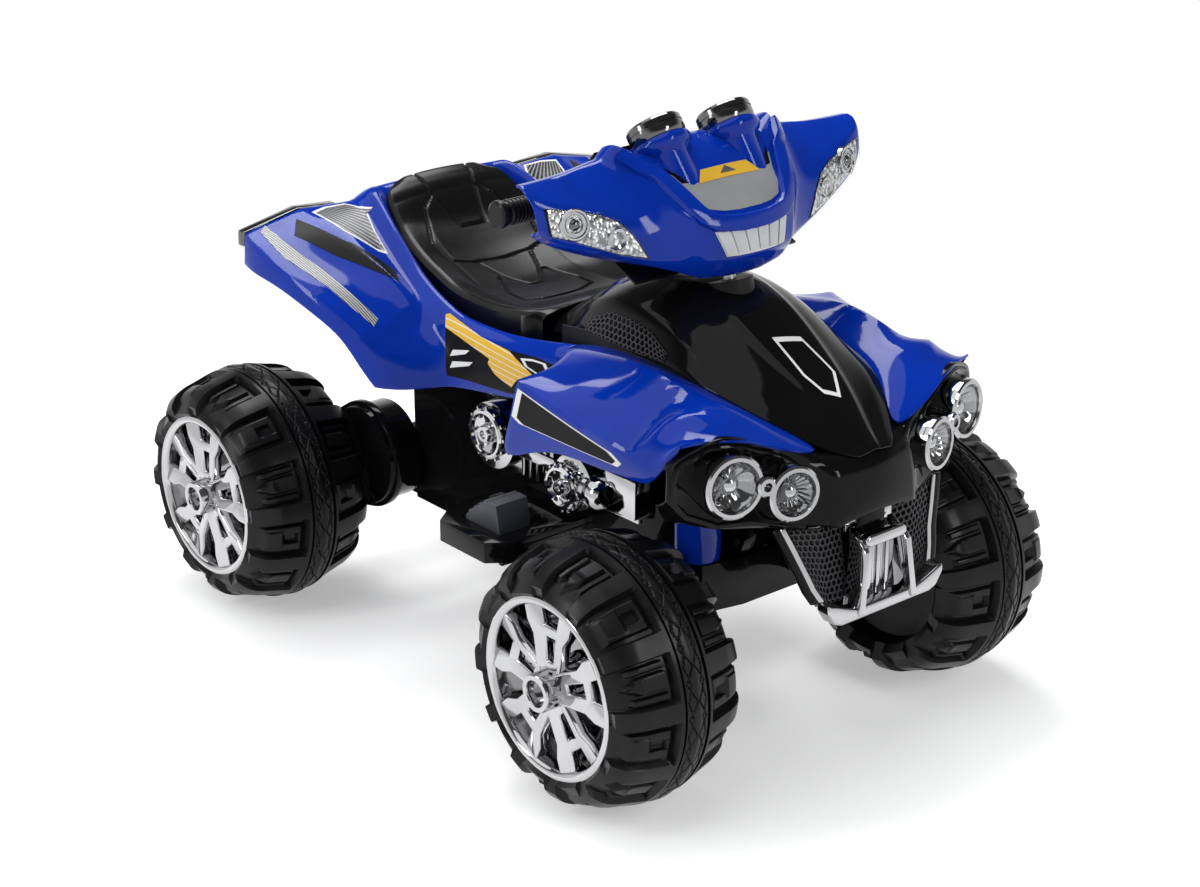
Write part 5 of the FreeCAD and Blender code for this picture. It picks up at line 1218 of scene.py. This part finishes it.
def blade_mesh():
    """Upright blade of the bumper, leaning outwards to its foot."""
    plate = prism(BLADE, BLADE_THICK)
    low, high = min(z for x, z in BLADE), max(z for x, z in BLADE)
    for vert in plate.vertices:
        x, z, across = vert.co
        lean = BLADE_TOP + (BLADE_FOOT - BLADE_TOP) * (high - z / MM) / (high - low)
        vert.co = at(x / MM, lean + across / MM, z / MM)
    return worked(cleaned(plate), rounded(0.0012, 2))


def cross_bar(half, depth, face):
    """Rounded bar across the length from half of its outline."""
    return worked(cleaned(moved(prism(across_pair(half), depth), across_x(face))), rounded(0.003, 3))


def dress_bumper():
    """Chrome bumper with its blades, panel and strips before the mesh grille."""
    paint = finishes()
    cell = bpy.context.scene.quad_shells.mesh_cell
    bars = [cross_bar(BAR_HALF, BAR_DEPTH, BAR_FACE), cross_bar(RAIL_HALF, RAIL_DEPTH, RAIL_FACE)]
    blocks = [moved(bar(*size, 0.002), Matrix.Translation(at(*place)))
              for size, place in (PANEL, TOP_PLATE, *PANEL_BANDS)]
    chrome = joined(*bars, *blocks, both(ribbon(STRIP, *STRIP_SECTION)), both(blade_mesh()))
    piece("bumper_look", shaded(chrome, 35), paint["chrome"], "chassis", "chrome_trim", ["front_bumper"])
    border = [(x - BORDER_BACK, y + BORDER_OUT, z) for x, y, z in STRIP]
    backing = [[at(x - BACKING_BACK, y, z) for x, y, z in span] for span in GRILLE]
    dark = joined(both(ribbon(border, *BORDER_SECTION)), both(worked(net(backing), walled(0.002, 0))))
    piece("grille_border", shaded(dark, 35), paint["black"], "chassis", "black_gloss")
    mesh = both(hex_mesh(GRILLE, cell))
    piece("grille_look", shaded(mesh, 30), paint["mesh_grey"], "chassis", "black_matte", ["grille_mesh"])


# Seat: place along, half width, skirt foot, edge, shoulder and middle heights

SEAT = (
    (-603, 80, 490, 515, 524, 526), (-590, 90, 470, 513, 518, 520), (-575, 96, 450, 502, 506, 507),
    (-548, 102, 425, 483, 482, 480), (-520, 108, 402, 470, 466, 462), (-490, 111, 388, 459, 450, 446),
    (-460, 113, 378, 450, 440, 436), (-430, 115, 370, 442, 430, 427), (-400, 116, 366, 438, 426, 423),
    (-350, 115, 366, 437, 426, 423), (-318, 110, 368, 438, 432, 431), (-300, 104, 372, 438, 437, 438),
    (-286, 92, 378, 434, 438, 441),
)
SEAT_GROOVES = (
    ((-605, 40), (-574, 33), (-533, 17), (-533, -17), (-574, -33), (-605, -40)),
    ((-574, 33), (-562, 52), (-516, 76), (-484, 69), (-477, 42), (-476, 0)),
    ((-477, 42), (-440, 28), (-411, 9), (-411, -9), (-440, -28)),
    ((-440, 28), (-436, 36), (-398, 52), (-370, 52), (-362, 28), (-362, 0)),
)
GROOVE_WIDTH, GROOVE_DEPTH, GROOVE_SOFT = 1.5, 2.8, 1.8
SHOULDER, SEAT_LIP, LIP_DROP = 0.6, 0.9, 7
SEAT_STEPS, SEAT_COLUMNS, SEAT_TUCK = 170, 66, 2


def eased(table, x, column):
    """Smooth curve through one column of a table."""
    last = len(table) - 1
    i = max(0, min(last - 1, next((k for k in range(last) if x <= table[k + 1][0]), last - 1)))
    p = [table[max(0, min(last, i + d))] for d in (-1, 0, 1, 2)]
    t = (x - p[1][0]) / (p[2][0] - p[1][0])
    a, b, c, d = (row[column] for row in p)
    return b + 0.5 * t * (c - a + t * (2 * a - 5 * b + 4 * c - d + t * (3 * (b - c) + d - a)))


def distance_to(point, line):
    best = 1e9
    for a, b in zip(line, line[1:]):
        a, b = Vector(a), Vector(b)
        along = b - a
        share = max(0, min(1, (point - a).dot(along) / along.dot(along)))
        best = min(best, (point - a - along * share).length)
    return best


def groove(x, y):
    near = min(distance_to(Vector((x, abs(y))), line) for line in SEAT_GROOVES)
    return GROOVE_DEPTH * (1 - step(near, GROOVE_WIDTH, GROOVE_SOFT))


def seat_height(x, share):
    edge, shoulder, middle = (eased(SEAT, x, k) for k in (3, 4, 5))
    away = abs(share)
    if away < SHOULDER:
        return middle + (shoulder - middle) * (away / SHOULDER) ** 2
    t = (away - SHOULDER) / (1 - SHOULDER)
    lip = LIP_DROP * max(0, (away - SEAT_LIP) / (1 - SEAT_LIP)) ** 2
    return shoulder + (edge - shoulder) * (3 * t * t - 2 * t ** 3) - lip


def dress_seat():
    """Seat with grooves pressed into its top."""
    rows = []
    for k in range(SEAT_STEPS + 1):
        x = SEAT[0][0] + (SEAT[-1][0] - SEAT[0][0]) * k / SEAT_STEPS
        half, foot = eased(SEAT, x, 1), eased(SEAT, x, 2)
        row = [at(x, SEAT_TUCK - half, foot)]
        for j in range(-SEAT_COLUMNS, SEAT_COLUMNS + 1):
            share = j / SEAT_COLUMNS
            y = half * share
            row.append(at(x, y, seat_height(x, share) - groove(x, y)))
        rows.append(row + [at(x, half - SEAT_TUCK, foot)])
    mesh = shaded(worked(net(rows), walled(0.003)), 40)
    piece("seat_look", mesh, finishes()["satin"], "chassis", "black_matte", ["seat"])


# Handlebar fairing: lines from the middle out to the wing tip, each from the chin over the face to the rear

FAIRING = (
    ((-95, 0, 522), (-52, 0, 524), (-33, 0, 545), (-32, 0, 556),
     (-38, 0, 578), (-39, 0, 590), (-46, 0, 600), (-80, 0, 628),
     (-115, 0, 655), (-140, 0, 664), (-162, 0, 655)),
    ((-95, 26, 522), (-53, 26, 524), (-34, 27, 545), (-33, 28, 556),
     (-39, 30, 578), (-41, 34, 590), (-49, 36, 600), (-83, 40, 628),
     (-117, 44, 655), (-141, 46, 662), (-162, 46, 653)),
    ((-97, 46, 524), (-57, 46, 526), (-42, 49, 546), (-41, 51, 556),
     (-48, 57, 579), (-52, 64, 592), (-62, 70, 604), (-92, 78, 632),
     (-118, 84, 652), (-140, 88, 655), (-160, 88, 648)),
    ((-99, 56, 525), (-60, 58, 527), (-46, 62, 547), (-46, 65, 558),
     (-54, 72, 582), (-60, 79, 596), (-70, 86, 610), (-100, 96, 640),
     (-126, 106, 662), (-140, 112, 668), (-158, 112, 660)),
    ((-100, 64, 528), (-66, 66, 530), (-58, 74, 548), (-60, 80, 560),
     (-70, 90, 584), (-76, 97, 596), (-86, 104, 608), (-112, 114, 632),
     (-134, 122, 648), (-146, 124, 652), (-158, 124, 648)),
    ((-104, 92, 536), (-78, 94, 541), (-72, 104, 547), (-74, 110, 556),
     (-80, 122, 580), (-87, 127, 594), (-96, 131, 606), (-118, 135, 628),
     (-138, 138, 645), (-147, 138, 650), (-158, 138, 646)),
    ((-116, 160, 556), (-94, 162, 564), (-88, 165, 570), (-87, 167, 580),
     (-89, 169, 598), (-93, 170, 608), (-101, 171, 616), (-119, 172, 627),
     (-136, 173, 638), (-146, 173, 643), (-156, 173, 641)),
    ((-126, 212, 576), (-108, 214, 583), (-104, 216, 588), (-104, 217, 596),
     (-107, 218, 612), (-111, 219, 621), (-116, 220, 628), (-124, 221, 634),
     (-133, 221, 640), (-140, 221, 643), (-150, 221, 642)),
    ((-132, 230, 590), (-118, 232, 596), (-115, 234, 602), (-115, 235, 609),
     (-117, 236, 620), (-120, 237, 628), (-123, 238, 633), (-127, 239, 638),
     (-132, 239, 642), (-138, 238, 644), (-146, 237, 643)),
)
# Sharp lines of the fairing, folds of its wings, corners of their tips and where the wings begin
FAIRING_LINES = ((2, 0.6), (3, 0.8), (4, 0.5))
WING_FOLDS = ((6, 0.8), (2, 0.6), (9, 0.7))
TIP_CORNERS = (0, 2, 6, 8, 10)
WING_ROW = 5
U_SECTION = 10, 6.5
U_BAND = ((-128, 112, 660), (-112, 100, 648), (-98, 89, 637), (-86, 80, 626), (-76, 74, 616),
          (-66, 68, 606), (-56, 60, 595), (-49, 48, 589), (-44, 34, 587), (-41, 18, 586),
          (-40, 0, 586))
SCREEN_HALF = ((-97, 73, 636), (-80, 64, 623), (-68, 60, 611), (-56, 50, 602), (-50, 34, 599),
               (-47, 15, 598))
SCREEN_TOP = ((-79, 30, 624), (-81, 53, 625))
TAB = ((-91, -33, 634), (-91, 33, 634), (-79, 44, 624), (-79, -44, 624))
ARROW = ((-83, -11, 628), (-83, 11, 628), (-90, 0, 633))
WEDGE = ((-82, 51, 626), (-103, 74, 641), (-84, 64, 627))
LIGHT_TOP, LIGHT_LOW = (-44, 52, 580), (-38, 41, 553)
LIGHT_CELLS, CELL_GAP, CELL_SHRINK = 6, 0.06, 0.92
BEZEL_LIFT, CELL_LIFT = 0.0012, 0.0028
HEADLAMP = ((-116, -226, 622), (-108, -206, 619), (-97, -166, 609), (-90, -146, 599), (-83, -132, 583),
            (-76, -116, 557), (-86, -149, 566), (-100, -202, 587), (-107, -224, 594))
# Lifts of a headlamp's edge, base and lens, and the sizes of base and lens as shares of the edge
EDGE_LIFT, BASE_LIFT, LENS_LIFT = 0.0005, 0.0009, 0.0042
BASE_SHARE, LENS_SHARE = 0.95, 0.97
# Turned inserts of a headlamp: ring and ball of the projector, then the rim of the side bowl
RING = ((0, -3), (17, -3), (17, 2), (16, 3), (14, 3), (13, 1), (11, 1), (10.5, 2.5), (9, 2.5), (8, 0),
        (0, -1))
BALL = ((0, -2), (6.5, -2), (6.2, 1), (4.5, 3), (2.5, 4), (0, 4.4))
BOWL_RIM = ((0, -3), (12, -3), (12, 1), (11, 2), (10, 1.5), (0, -2))
# Radius, ribs, depth and segments of the side bowl inside its rim
BOWL_RIBS = 9.5, 10, 3.5, 60
BOWL_LIFT = 0.0012
PROJECTOR, SIDE_BOWL = (-103, -197, 603), (-88, -152, 583)
# Intake tubes: radius against shares of the length, then the cap's radius against millimetres
TUBE_FOOT, TUBE_TOP = (-78, 48, 582), (-136, 50, 660)
TUBE = ((0, 0), (24, 0), (24, 0.78), (26, 0.82), (31, 0.86), (33.5, 0.9), (33.5, 0.95), (32, 0.99),
        (26, 1.01), (0, 1.01))
CAP = ((0, -2), (30, -2), (31, 0), (31.5, 3), (31.5, 8), (30.6, 8.6), (30.6, 9.8), (31.5, 10.4),
       (31.2, 16), (29.5, 18.5), (26, 20), (14, 21.5), (0, 22))
CAP_LIFT = 0.002


def between(a, b, share):
    return tuple(p + (q - p) * share for p, q in zip(a, b))


def mirrored_point(p):
    return p[0], -p[1], p[2]


def light_cells():
    """Outline of the light bar and of the cells along it."""
    top = mirrored_point(LIGHT_TOP), LIGHT_TOP
    low = mirrored_point(LIGHT_LOW), LIGHT_LOW
    cells = []
    for k in range(LIGHT_CELLS):
        first, last = (k + CELL_GAP) / LIGHT_CELLS, (k + 1 - CELL_GAP) / LIGHT_CELLS
        corners = [between(*top, first), between(*top, last), between(*low, last), between(*low, first)]
        cells.append(shrunk(corners, CELL_SHRINK))
    return [top[0], top[1], low[1], low[0]], cells


def dress_fairing():
    """Handlebar fairing with its screen, lights and tubes."""
    paint = finishes()
    rows = mirrored_rows([list(row) for row in FAIRING])
    last = len(FAIRING) - 1
    lines = {last + s * row: sharp for s in (-1, 1) for row, sharp in FAIRING_LINES}
    spans = (0, last - WING_ROW), (last + WING_ROW, 2 * last)
    wings = [("column", column, *span, sharp) for column, sharp in WING_FOLDS for span in spans]
    tips = [(row, column) for row in (0, 2 * last) for column in TIP_CORNERS]
    sheet = surface(rows, lines, {1: 0.6}, wings, tips)
    path = list(U_BAND) + [mirrored_point(p) for p in U_BAND[-2::-1]]
    band = shaded(worked(raised_band(path, *U_SECTION, sheet), rounded(0.0012)), 40)
    look = joined(shell_of(sheet), band)
    piece("fairing_look", look, paint["blue"], "steering", "blue_shell", ["handlebar_fairing"])
    screen = list(SCREEN_HALF) + [mirrored_point(p) for p in SCREEN_HALF[::-1]]
    screen += [mirrored_point(p) for p in SCREEN_TOP[::-1]] + list(SCREEN_TOP)
    films = (("screen", "silver", [screen], 0.0004),
             ("screen_tab", "yellow", [TAB], 0.0008),
             ("screen_arrow", "grey", [ARROW], 0.0012),
             ("screen_wedges", "decal_black", [WEDGE, [mirrored_point(p) for p in WEDGE]], 0.0008))
    lay_films(films, sheet, "steering", "blue_shell")
    bezel, cells = light_cells()
    bezel_look = decal(bezel, sheet, BEZEL_LIFT)
    piece("light_bezel", bezel_look, paint["white"], "steering", "white_lens", ["light_bar"])
    lights = joined(*[decal(cell, sheet, CELL_LIFT) for cell in cells])
    piece("light_cells", lights, paint["milk"], "steering", "white_lens")
    dress_headlamps(sheet)
    dress_tubes()


def dress_headlamps(sheet):
    """Headlamps on the fairing's wings, each with a projector and a bowl under a clear lens."""
    paint = finishes()
    tree = tree_of(sheet)
    edge = decal(HEADLAMP, sheet, EDGE_LIFT)
    piece("headlamp_edge", both(edge), paint["black"], "steering", "black_gloss")
    base = decal(shrunk(HEADLAMP, BASE_SHARE), sheet, BASE_LIFT)
    # The base's facets carry painted glints in their colour
    piece("headlamp_base", both(base), paint["pebbled_painted_glint"], "steering", "chrome_trim")
    ribs = moved(ribbed_bowl(*BOWL_RIBS), Matrix.Translation((0, 0, BOWL_LIFT)))
    bowl = moved(joined(lathe(BOWL_RIM, 32), ribs), on_sheet(tree, SIDE_BOWL))
    bright = joined(moved(lathe(RING, 40), on_sheet(tree, PROJECTOR)), bowl)
    piece("headlamp_rings", both(shaded(bright, 30)), paint["chrome"], "steering", "chrome_trim")
    ball = shaded(moved(lathe(BALL, 32), on_sheet(tree, PROJECTOR)), 40)
    piece("headlamp_balls", both(ball), paint["dark_chrome"], "steering", "chrome_trim")
    lens = decal(shrunk(HEADLAMP, LENS_SHARE), sheet, LENS_LIFT)
    piece("headlamp_lens", both(lens), paint["clear"], "steering", "clear_lens", ["headlamp_lenses"])


def dress_tubes():
    """Two blue tubes with flared collars and stepped bright caps."""
    paint = finishes()
    foot, top = at(*TUBE_FOOT), at(*TUBE_TOP)
    length = (top - foot).length / MM
    tube = moved(lathe([(r, share * length) for r, share in TUBE], 48), facing(foot, top - foot))
    piece("tubes", both(shaded(tube, 40)), paint["blue"], "steering", "blue_shell")
    along = (top - foot).normalized()
    cap = shaded(moved(lathe(CAP, 56), facing(top + along * CAP_LIFT, along, Vector((1, 0, 0)))), 30)
    piece("tube_caps", both(cap), paint["dark_chrome"], "steering", "chrome_trim", ["intake_caps"])


# Grips: radius against millimetres from the outer end

GRIP_END = ((0, 0), (12, 0), (14.5, 1.5), (15, 5), (14.5, 8), (12.5, 10), (12.5, 13))
GRIP_RIB, GRIP_RIBS, GRIP_PITCH = ((13.8, 15), (13.8, 17.6), (12.8, 18.2), (12.8, 19.4)), 9, 5
GRIP_FOOT = ((13.5, 62), (17, 64), (17, 68), (12, 69), (0, 69))


def dress_grips():
    """Ribbed grips on the ends of the handlebar."""
    ribs = [(r, h + GRIP_PITCH * k) for k in range(GRIP_RIBS) for r, h in GRIP_RIB]
    axis = middle_of("handlebar")
    end = Vector((axis.x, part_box("grips")[1].y, axis.z))
    grip = shaded(moved(lathe((*GRIP_END, *ribs, *GRIP_FOOT), 36), facing(end, Vector((0, -1, 0)))), 30)
    piece("grips_look", both(grip), finishes()["rubber"], "steering", "grip_rubber", ["grips"])


# Engine: place along and up of the round covers, their radius and teeth, then the drum

ENGINE_ROUNDS = (((-326, 292), 30, 12), ((-190, 268), 26, 16))
ENGINE_FACE = -144
DRUM = ((0, 0), (15, 0), (18, 3), (18, 9), (15, 10), (15, 14), (18, 15), (18, 21), (15, 22), (15, 26),
        (18, 27), (18, 38), (14, 44), (0, 46))
DRUM_FOOT = (-174, -128, 272)
# Round cover with a rim, a bowl and a boss, as shares of the radius and additions
ROUND_COVER = ((0, 0, 0, -8), (1, 0, 0, -8), (1, 0, 0, 2), (1, -2, 0, 4), (1, -5, 0, 4), (1, -7, 0, 0),
               (0.55, 0, 0, -3), (0.4, 0, 0, -3), (0.36, 0, 0, 4), (0.3, 0, 0, 6), (0.18, 0, 0, 6),
               (0.14, 0, 0, 3), (0, 0, 0, 3))
TOOTH, TOOTH_OUT, TOOTH_IN = (4.5, 7, 5), 1, 2
BOLTS, BOLT_CIRCLE, BOLT_OUT = 6, 0.72, 0.5
BOLT_HEAD = ((0, -2), (2.4, -2), (2.4, 1.4), (2, 1.9), (0, 2))
OUT_RIGHT = Vector((0, -1, 0))


def dress_engine():
    """Round covers with toothed rims, bolts and a ribbed drum on each side of the engine."""
    paint = finishes()
    bright, spots, normals = [], [], []
    for (x, z), radius, teeth in ENGINE_ROUNDS:
        cover = moved(lathe(sized(ROUND_COVER, radius), 56), facing(at(x, ENGINE_FACE, z), OUT_RIGHT))
        tooth = moved(bar(*TOOTH), Matrix.Translation(Vector((0, 0, radius + TOOTH_OUT)) * MM))
        ring = ring_of(tooth, teeth, paint["chrome"])
        bright += [cover, moved(ring, Matrix.Translation(at(x, ENGINE_FACE + TOOTH_IN, z)))]
        for k in range(BOLTS):
            turn = 2 * math.pi * (k + 0.5) / BOLTS
            spots.append(at(x, ENGINE_FACE - BOLT_OUT, z) + polar(BOLT_CIRCLE * radius, 0, turn))
            normals.append(OUT_RIGHT)
    bright.append(moved(lathe(DRUM, 48), facing(at(*DRUM_FOOT), Vector((1, 0, 0)))))
    head = lathe(BOLT_HEAD, 6)
    bolts = stamped(spots, normals, head, paint["dark_chrome"])
    piece("engine_rounds", both(shaded(joined(*bright), 35)), paint["chrome"], "chassis", "chrome_trim")
    piece("engine_bolts", both(shaded(bolts, 35)), paint["dark_chrome"], "chassis", "chrome_trim")


# Remaining CAD nodes: rounded copies with their finish, body and slot

ROUNDED = (
    ("chassis_tub", 0.002, "black", "chassis", "black_gloss"),
    ("front_beam", 0.0015, "black", "chassis", "black_gloss"),
    ("bumper_bracket", 0.001, "black", "chassis", "black_gloss"),
    ("kingpin_columns", 0.0012, "blue", "chassis", "blue_shell"),
    ("gearbox_right", 0.0015, "black", "chassis", "black_gloss"),
    ("gearbox_left", 0.0015, "black", "chassis", "black_gloss"),
    ("engine_cover_right", 0.0016, "chrome", "chassis", "chrome_trim"),
    ("engine_cover_left", 0.0016, "chrome", "chassis", "chrome_trim"),
    ("tail_trim", 0.0016, "dark_chrome", "chassis", "chrome_trim"),
    ("dash_cover", 0.001, "black", "steering", "black_gloss"),
    ("pedal", 0.0012, "grey", "pedal", "grey_plastic"),
    ("start_button", 0.0006, "red", "start_button", "red_button"),
    ("horn_button", 0.0006, "yellow", "horn_button", "yellow_button"),
    ("direction_rocker", 0.0006, "matte", "direction_rocker", "black_matte"),
)
PLAIN = (
    ("matte", ("steering_bush", "neck_collar", "motors", "battery", "battery_strap", "control_box",
               "pedal_switch", "charge_socket")),
    ("steel", ("kingpins", "knuckle_right", "knuckle_left", "front_axle_nut_right", "front_axle_nut_left",
               "tie_rod", "steering_shaft", "rear_axle", "rear_axle_nuts", "handlebar")),
)


def dress_rounded():
    """Rounded copies of the tub and the controls, and plain finishes on the rest."""
    paint = finishes()
    for node, width, finish, body, slot in ROUNDED:
        piece(node + "_look", shaded(softened(node, width), 30), paint[finish], body, slot, [node])
    for finish, nodes in PLAIN:
        for node in nodes:
            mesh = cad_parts[node].data
            mesh.materials.clear()
            mesh.materials.append(paint[finish])


# Stage: camera, even light, the reflected surroundings, floor and lamps

CAMERA_PLACE = (1718.3, -1694.6, 1300.8)
CAMERA_TURN = math.radians(49.898)
CAMERA_RISE = math.radians(21.726)
SENSOR_WIDTH = 36
EVEN_TINT, EVEN_STRENGTH = (0.95, 0.97, 1.0, 1), 0.3
WHITE_UP_TO, DIM_FROM = 0.22, 0.45
FLOOR_HALF, FLOOR_FADE = 9, (0.75, 1.5)
LIGHT_TARGET, LIGHT_UP = Vector((0, 0, 0.3)), Vector((0, 0.2, 1))
# Soft boxes: place, width, height and the setting that holds their power
SOFT_BOXES = {
    "top box": ((-0.9, 0.5, 2.3), 1.5, 0.9, "top_light"),
    "right strip": ((-0.5, -2.4, 1.5), 0.4, 1.5, "side_light"),
    "front strip": ((2.5, 0.3, 1.7), 0.4, 1.4, "side_light"),
}
SKY_SPREAD = math.radians(70)
SKY_LEAN = (math.radians(18), math.radians(-14), 0)


def view_rays(tree):
    """Share of a ray that comes from the camera, a mirror or a lens."""
    rays = new_node(tree, "ShaderNodeLightPath")
    value = rays.outputs["Is Camera Ray"]
    for name in ("Is Glossy Ray", "Is Transmission Ray"):
        value = math_node(tree, "MAXIMUM", value, rays.outputs[name])
    return value


def studio_world(ceiling):
    """White round the quad and a dim ceiling for camera, mirrors and lenses, and a soft even light."""
    world = bpy.data.worlds.new("Studio")
    world.use_nodes = True
    tree = world.node_tree
    even = tree.nodes["Background"]
    feed(tree, even, {"Color": EVEN_TINT, "Strength": EVEN_STRENGTH})
    ray = new_node(tree, "ShaderNodeTexCoord").outputs["Generated"]
    height = new_node(tree, "ShaderNodeSeparateXYZ", {"Vector": ray}).outputs["Z"]
    around = ramp(tree, height, (WHITE_UP_TO, (1, 1, 1)), (DIM_FROM, (ceiling,) * 3))
    seen = new_node(tree, "ShaderNodeBackground", {"Color": around})
    inputs = {0: view_rays(tree), 1: even.outputs[0], 2: seen.outputs[0]}
    choice = new_node(tree, "ShaderNodeMixShader", inputs)
    feed(tree, tree.nodes["World Output"], {"Surface": choice.outputs[0]})
    return world


def pale_floor(glow):
    """Pale floor that keeps the shadow near the quad and goes over to white further off."""
    pale = moulded("Pale floor", (0.9, 0.9, 0.9), 0.6, drift=0.01, Specular_IOR_Level=0.0)
    tree = pale.node_tree
    shader = tree.nodes["Principled BSDF"]
    seen = view_rays(tree)
    strength = math_node(tree, "MULTIPLY", seen, glow)
    feed(tree, shader, {"Emission Color": (1, 1, 1, 1), "Emission Strength": strength})
    reach = new_node(tree, "ShaderNodeVectorMath", {0: object_coords(tree)}, operation="LENGTH")
    near, far = FLOOR_FADE
    inputs = {"Value": reach.outputs["Value"], "From Min": near, "From Max": far}
    fade = new_node(tree, "ShaderNodeMapRange", inputs)
    share = math_node(tree, "MULTIPLY", fade.outputs["Result"], seen)
    white = new_node(tree, "ShaderNodeEmission")
    choice = new_node(tree, "ShaderNodeMixShader", {0: share, 1: shader.outputs[0], 2: white.outputs[0]})
    feed(tree, tree.nodes["Material Output"], {"Surface": choice.outputs[0]})
    return pale


def soft_box(name, place, width, height, power):
    """Area light that faces the quad."""
    light = bpy.data.lights.new(name, "AREA")
    light.shape = "RECTANGLE"
    light.size = width
    light.size_y = height
    light.energy = power
    spot = Vector(place)
    linked(name, light).matrix_world = facing(spot, spot - LIGHT_TARGET, LIGHT_UP)


def dress_stage():
    """Floor, lights and camera."""
    stage = bpy.context.scene.quad_stage
    h = FLOOR_HALF
    floor = linked("floor", mesh_from([(-h, -h, 0), (h, -h, 0), (h, h, 0), (-h, h, 0)], [(0, 1, 2, 3)]))
    floor.data.materials.append(pale_floor(stage.floor_glow))
    bpy.context.scene.world = studio_world(stage.ceiling)
    for name, (place, width, height, setting) in SOFT_BOXES.items():
        soft_box(name, place, width, height, getattr(stage, setting))
    sun = bpy.data.lights.new("sky light", "SUN")
    sun.energy = stage.sky_light
    sun.angle = SKY_SPREAD
    linked("sky light", sun).rotation_euler = SKY_LEAN
    camera = bpy.data.cameras.new("photo camera")
    camera.lens = stage.lens
    camera.sensor_width = SENSOR_WIDTH
    eye = linked("photo camera", camera)
    eye.location = at(*CAMERA_PLACE)
    eye.rotation_euler = (math.pi / 2 - CAMERA_RISE, 0, CAMERA_TURN)
    bpy.context.scene.camera = eye
    bpy.context.scene.view_settings.view_transform = "Standard"


# Operators, panel and registration

class QUAD_OT_wheels(bpy.types.Operator):
    """Dress the four wheels with tyres and spoked covers"""
    bl_idname = "quad.wheels"
    bl_label = "Wheels"

    def execute(self, context):
        dress_wheels()
        return {"FINISHED"}


class QUAD_OT_rear_shell(bpy.types.Operator):
    """Dress the rear shell and its films"""
    bl_idname = "quad.rear_shell"
    bl_label = "Rear shell"

    def execute(self, context):
        dress_rear_shell()
        return {"FINISHED"}


class QUAD_OT_tank(bpy.types.Operator):
    """Dress the tank cover and its side vents"""
    bl_idname = "quad.tank"
    bl_label = "Tank"

    def execute(self, context):
        dress_tank()
        return {"FINISHED"}


class QUAD_OT_front_shell(bpy.types.Operator):
    """Dress the front shell and its wing films"""
    bl_idname = "quad.front_shell"
    bl_label = "Front shell"

    def execute(self, context):
        dress_front_shell()
        return {"FINISHED"}


class QUAD_OT_nose(bpy.types.Operator):
    """Dress the nose with its pods and lamps"""
    bl_idname = "quad.nose"
    bl_label = "Nose and lamps"

    def execute(self, context):
        dress_nose()
        dress_lamps()
        return {"FINISHED"}


class QUAD_OT_bumper(bpy.types.Operator):
    """Dress the bumper and the grille"""
    bl_idname = "quad.bumper"
    bl_label = "Bumper"

    def execute(self, context):
        dress_bumper()
        return {"FINISHED"}


class QUAD_OT_seat(bpy.types.Operator):
    """Dress the seat with its grooves"""
    bl_idname = "quad.seat"
    bl_label = "Seat"

    def execute(self, context):
        dress_seat()
        return {"FINISHED"}


class QUAD_OT_fairing(bpy.types.Operator):
    """Dress the handlebar fairing, its lights, tubes and grips"""
    bl_idname = "quad.fairing"
    bl_label = "Fairing"

    def execute(self, context):
        dress_fairing()
        dress_grips()
        return {"FINISHED"}


class QUAD_OT_engine(bpy.types.Operator):
    """Dress both sides of the engine"""
    bl_idname = "quad.engine"
    bl_label = "Engine"

    def execute(self, context):
        dress_engine()
        return {"FINISHED"}


class QUAD_OT_chassis(bpy.types.Operator):
    """Round and finish the tub, the running gear and the controls"""
    bl_idname = "quad.chassis"
    bl_label = "Chassis and controls"

    def execute(self, context):
        dress_rounded()
        return {"FINISHED"}


class QUAD_OT_stage(bpy.types.Operator):
    """Set the floor, the lights and the camera"""
    bl_idname = "quad.stage"
    bl_label = "Stage"

    def execute(self, context):
        dress_stage()
        return {"FINISHED"}


OPERATORS = (QUAD_OT_wheels, QUAD_OT_rear_shell, QUAD_OT_tank, QUAD_OT_front_shell, QUAD_OT_nose,
             QUAD_OT_bumper, QUAD_OT_seat, QUAD_OT_fairing, QUAD_OT_engine, QUAD_OT_chassis, QUAD_OT_stage)
GROUPS = {"quad_paint": QuadPaint, "quad_wheels": QuadWheels, "quad_shells": QuadShells,
          "quad_stage": QuadStage}


class QUAD_PT_sidebar(bpy.types.Panel):
    """Settings and steps of the quad"""
    bl_idname = "QUAD_PT_sidebar"
    bl_label = "Ride-on quad"
    bl_space_type = "VIEW_3D"
    bl_region_type = "UI"
    bl_category = "Quad"

    def draw(self, context):
        for name, kind in GROUPS.items():
            box = self.layout.box()
            for field in kind.__annotations__:
                box.prop(getattr(context.scene, name), field)
        for step_class in OPERATORS:
            self.layout.operator(step_class.bl_idname)


def register():
    for kind in (*GROUPS.values(), *OPERATORS, QUAD_PT_sidebar):
        bpy.utils.register_class(kind)
    for name, kind in GROUPS.items():
        setattr(bpy.types.Scene, name, PointerProperty(type=kind))


def unregister():
    for name in GROUPS:
        delattr(bpy.types.Scene, name)
    for kind in (QUAD_PT_sidebar, *reversed(OPERATORS), *GROUPS.values()):
        bpy.utils.unregister_class(kind)


def main():
    register()
    bpy.ops.quad.wheels()
    bpy.ops.quad.rear_shell()
    bpy.ops.quad.tank()
    bpy.ops.quad.front_shell()
    bpy.ops.quad.nose()
    bpy.ops.quad.bumper()
    bpy.ops.quad.seat()
    bpy.ops.quad.fairing()
    bpy.ops.quad.engine()
    bpy.ops.quad.chassis()
    bpy.ops.quad.stage()


if __name__ == "__main__":
    main()
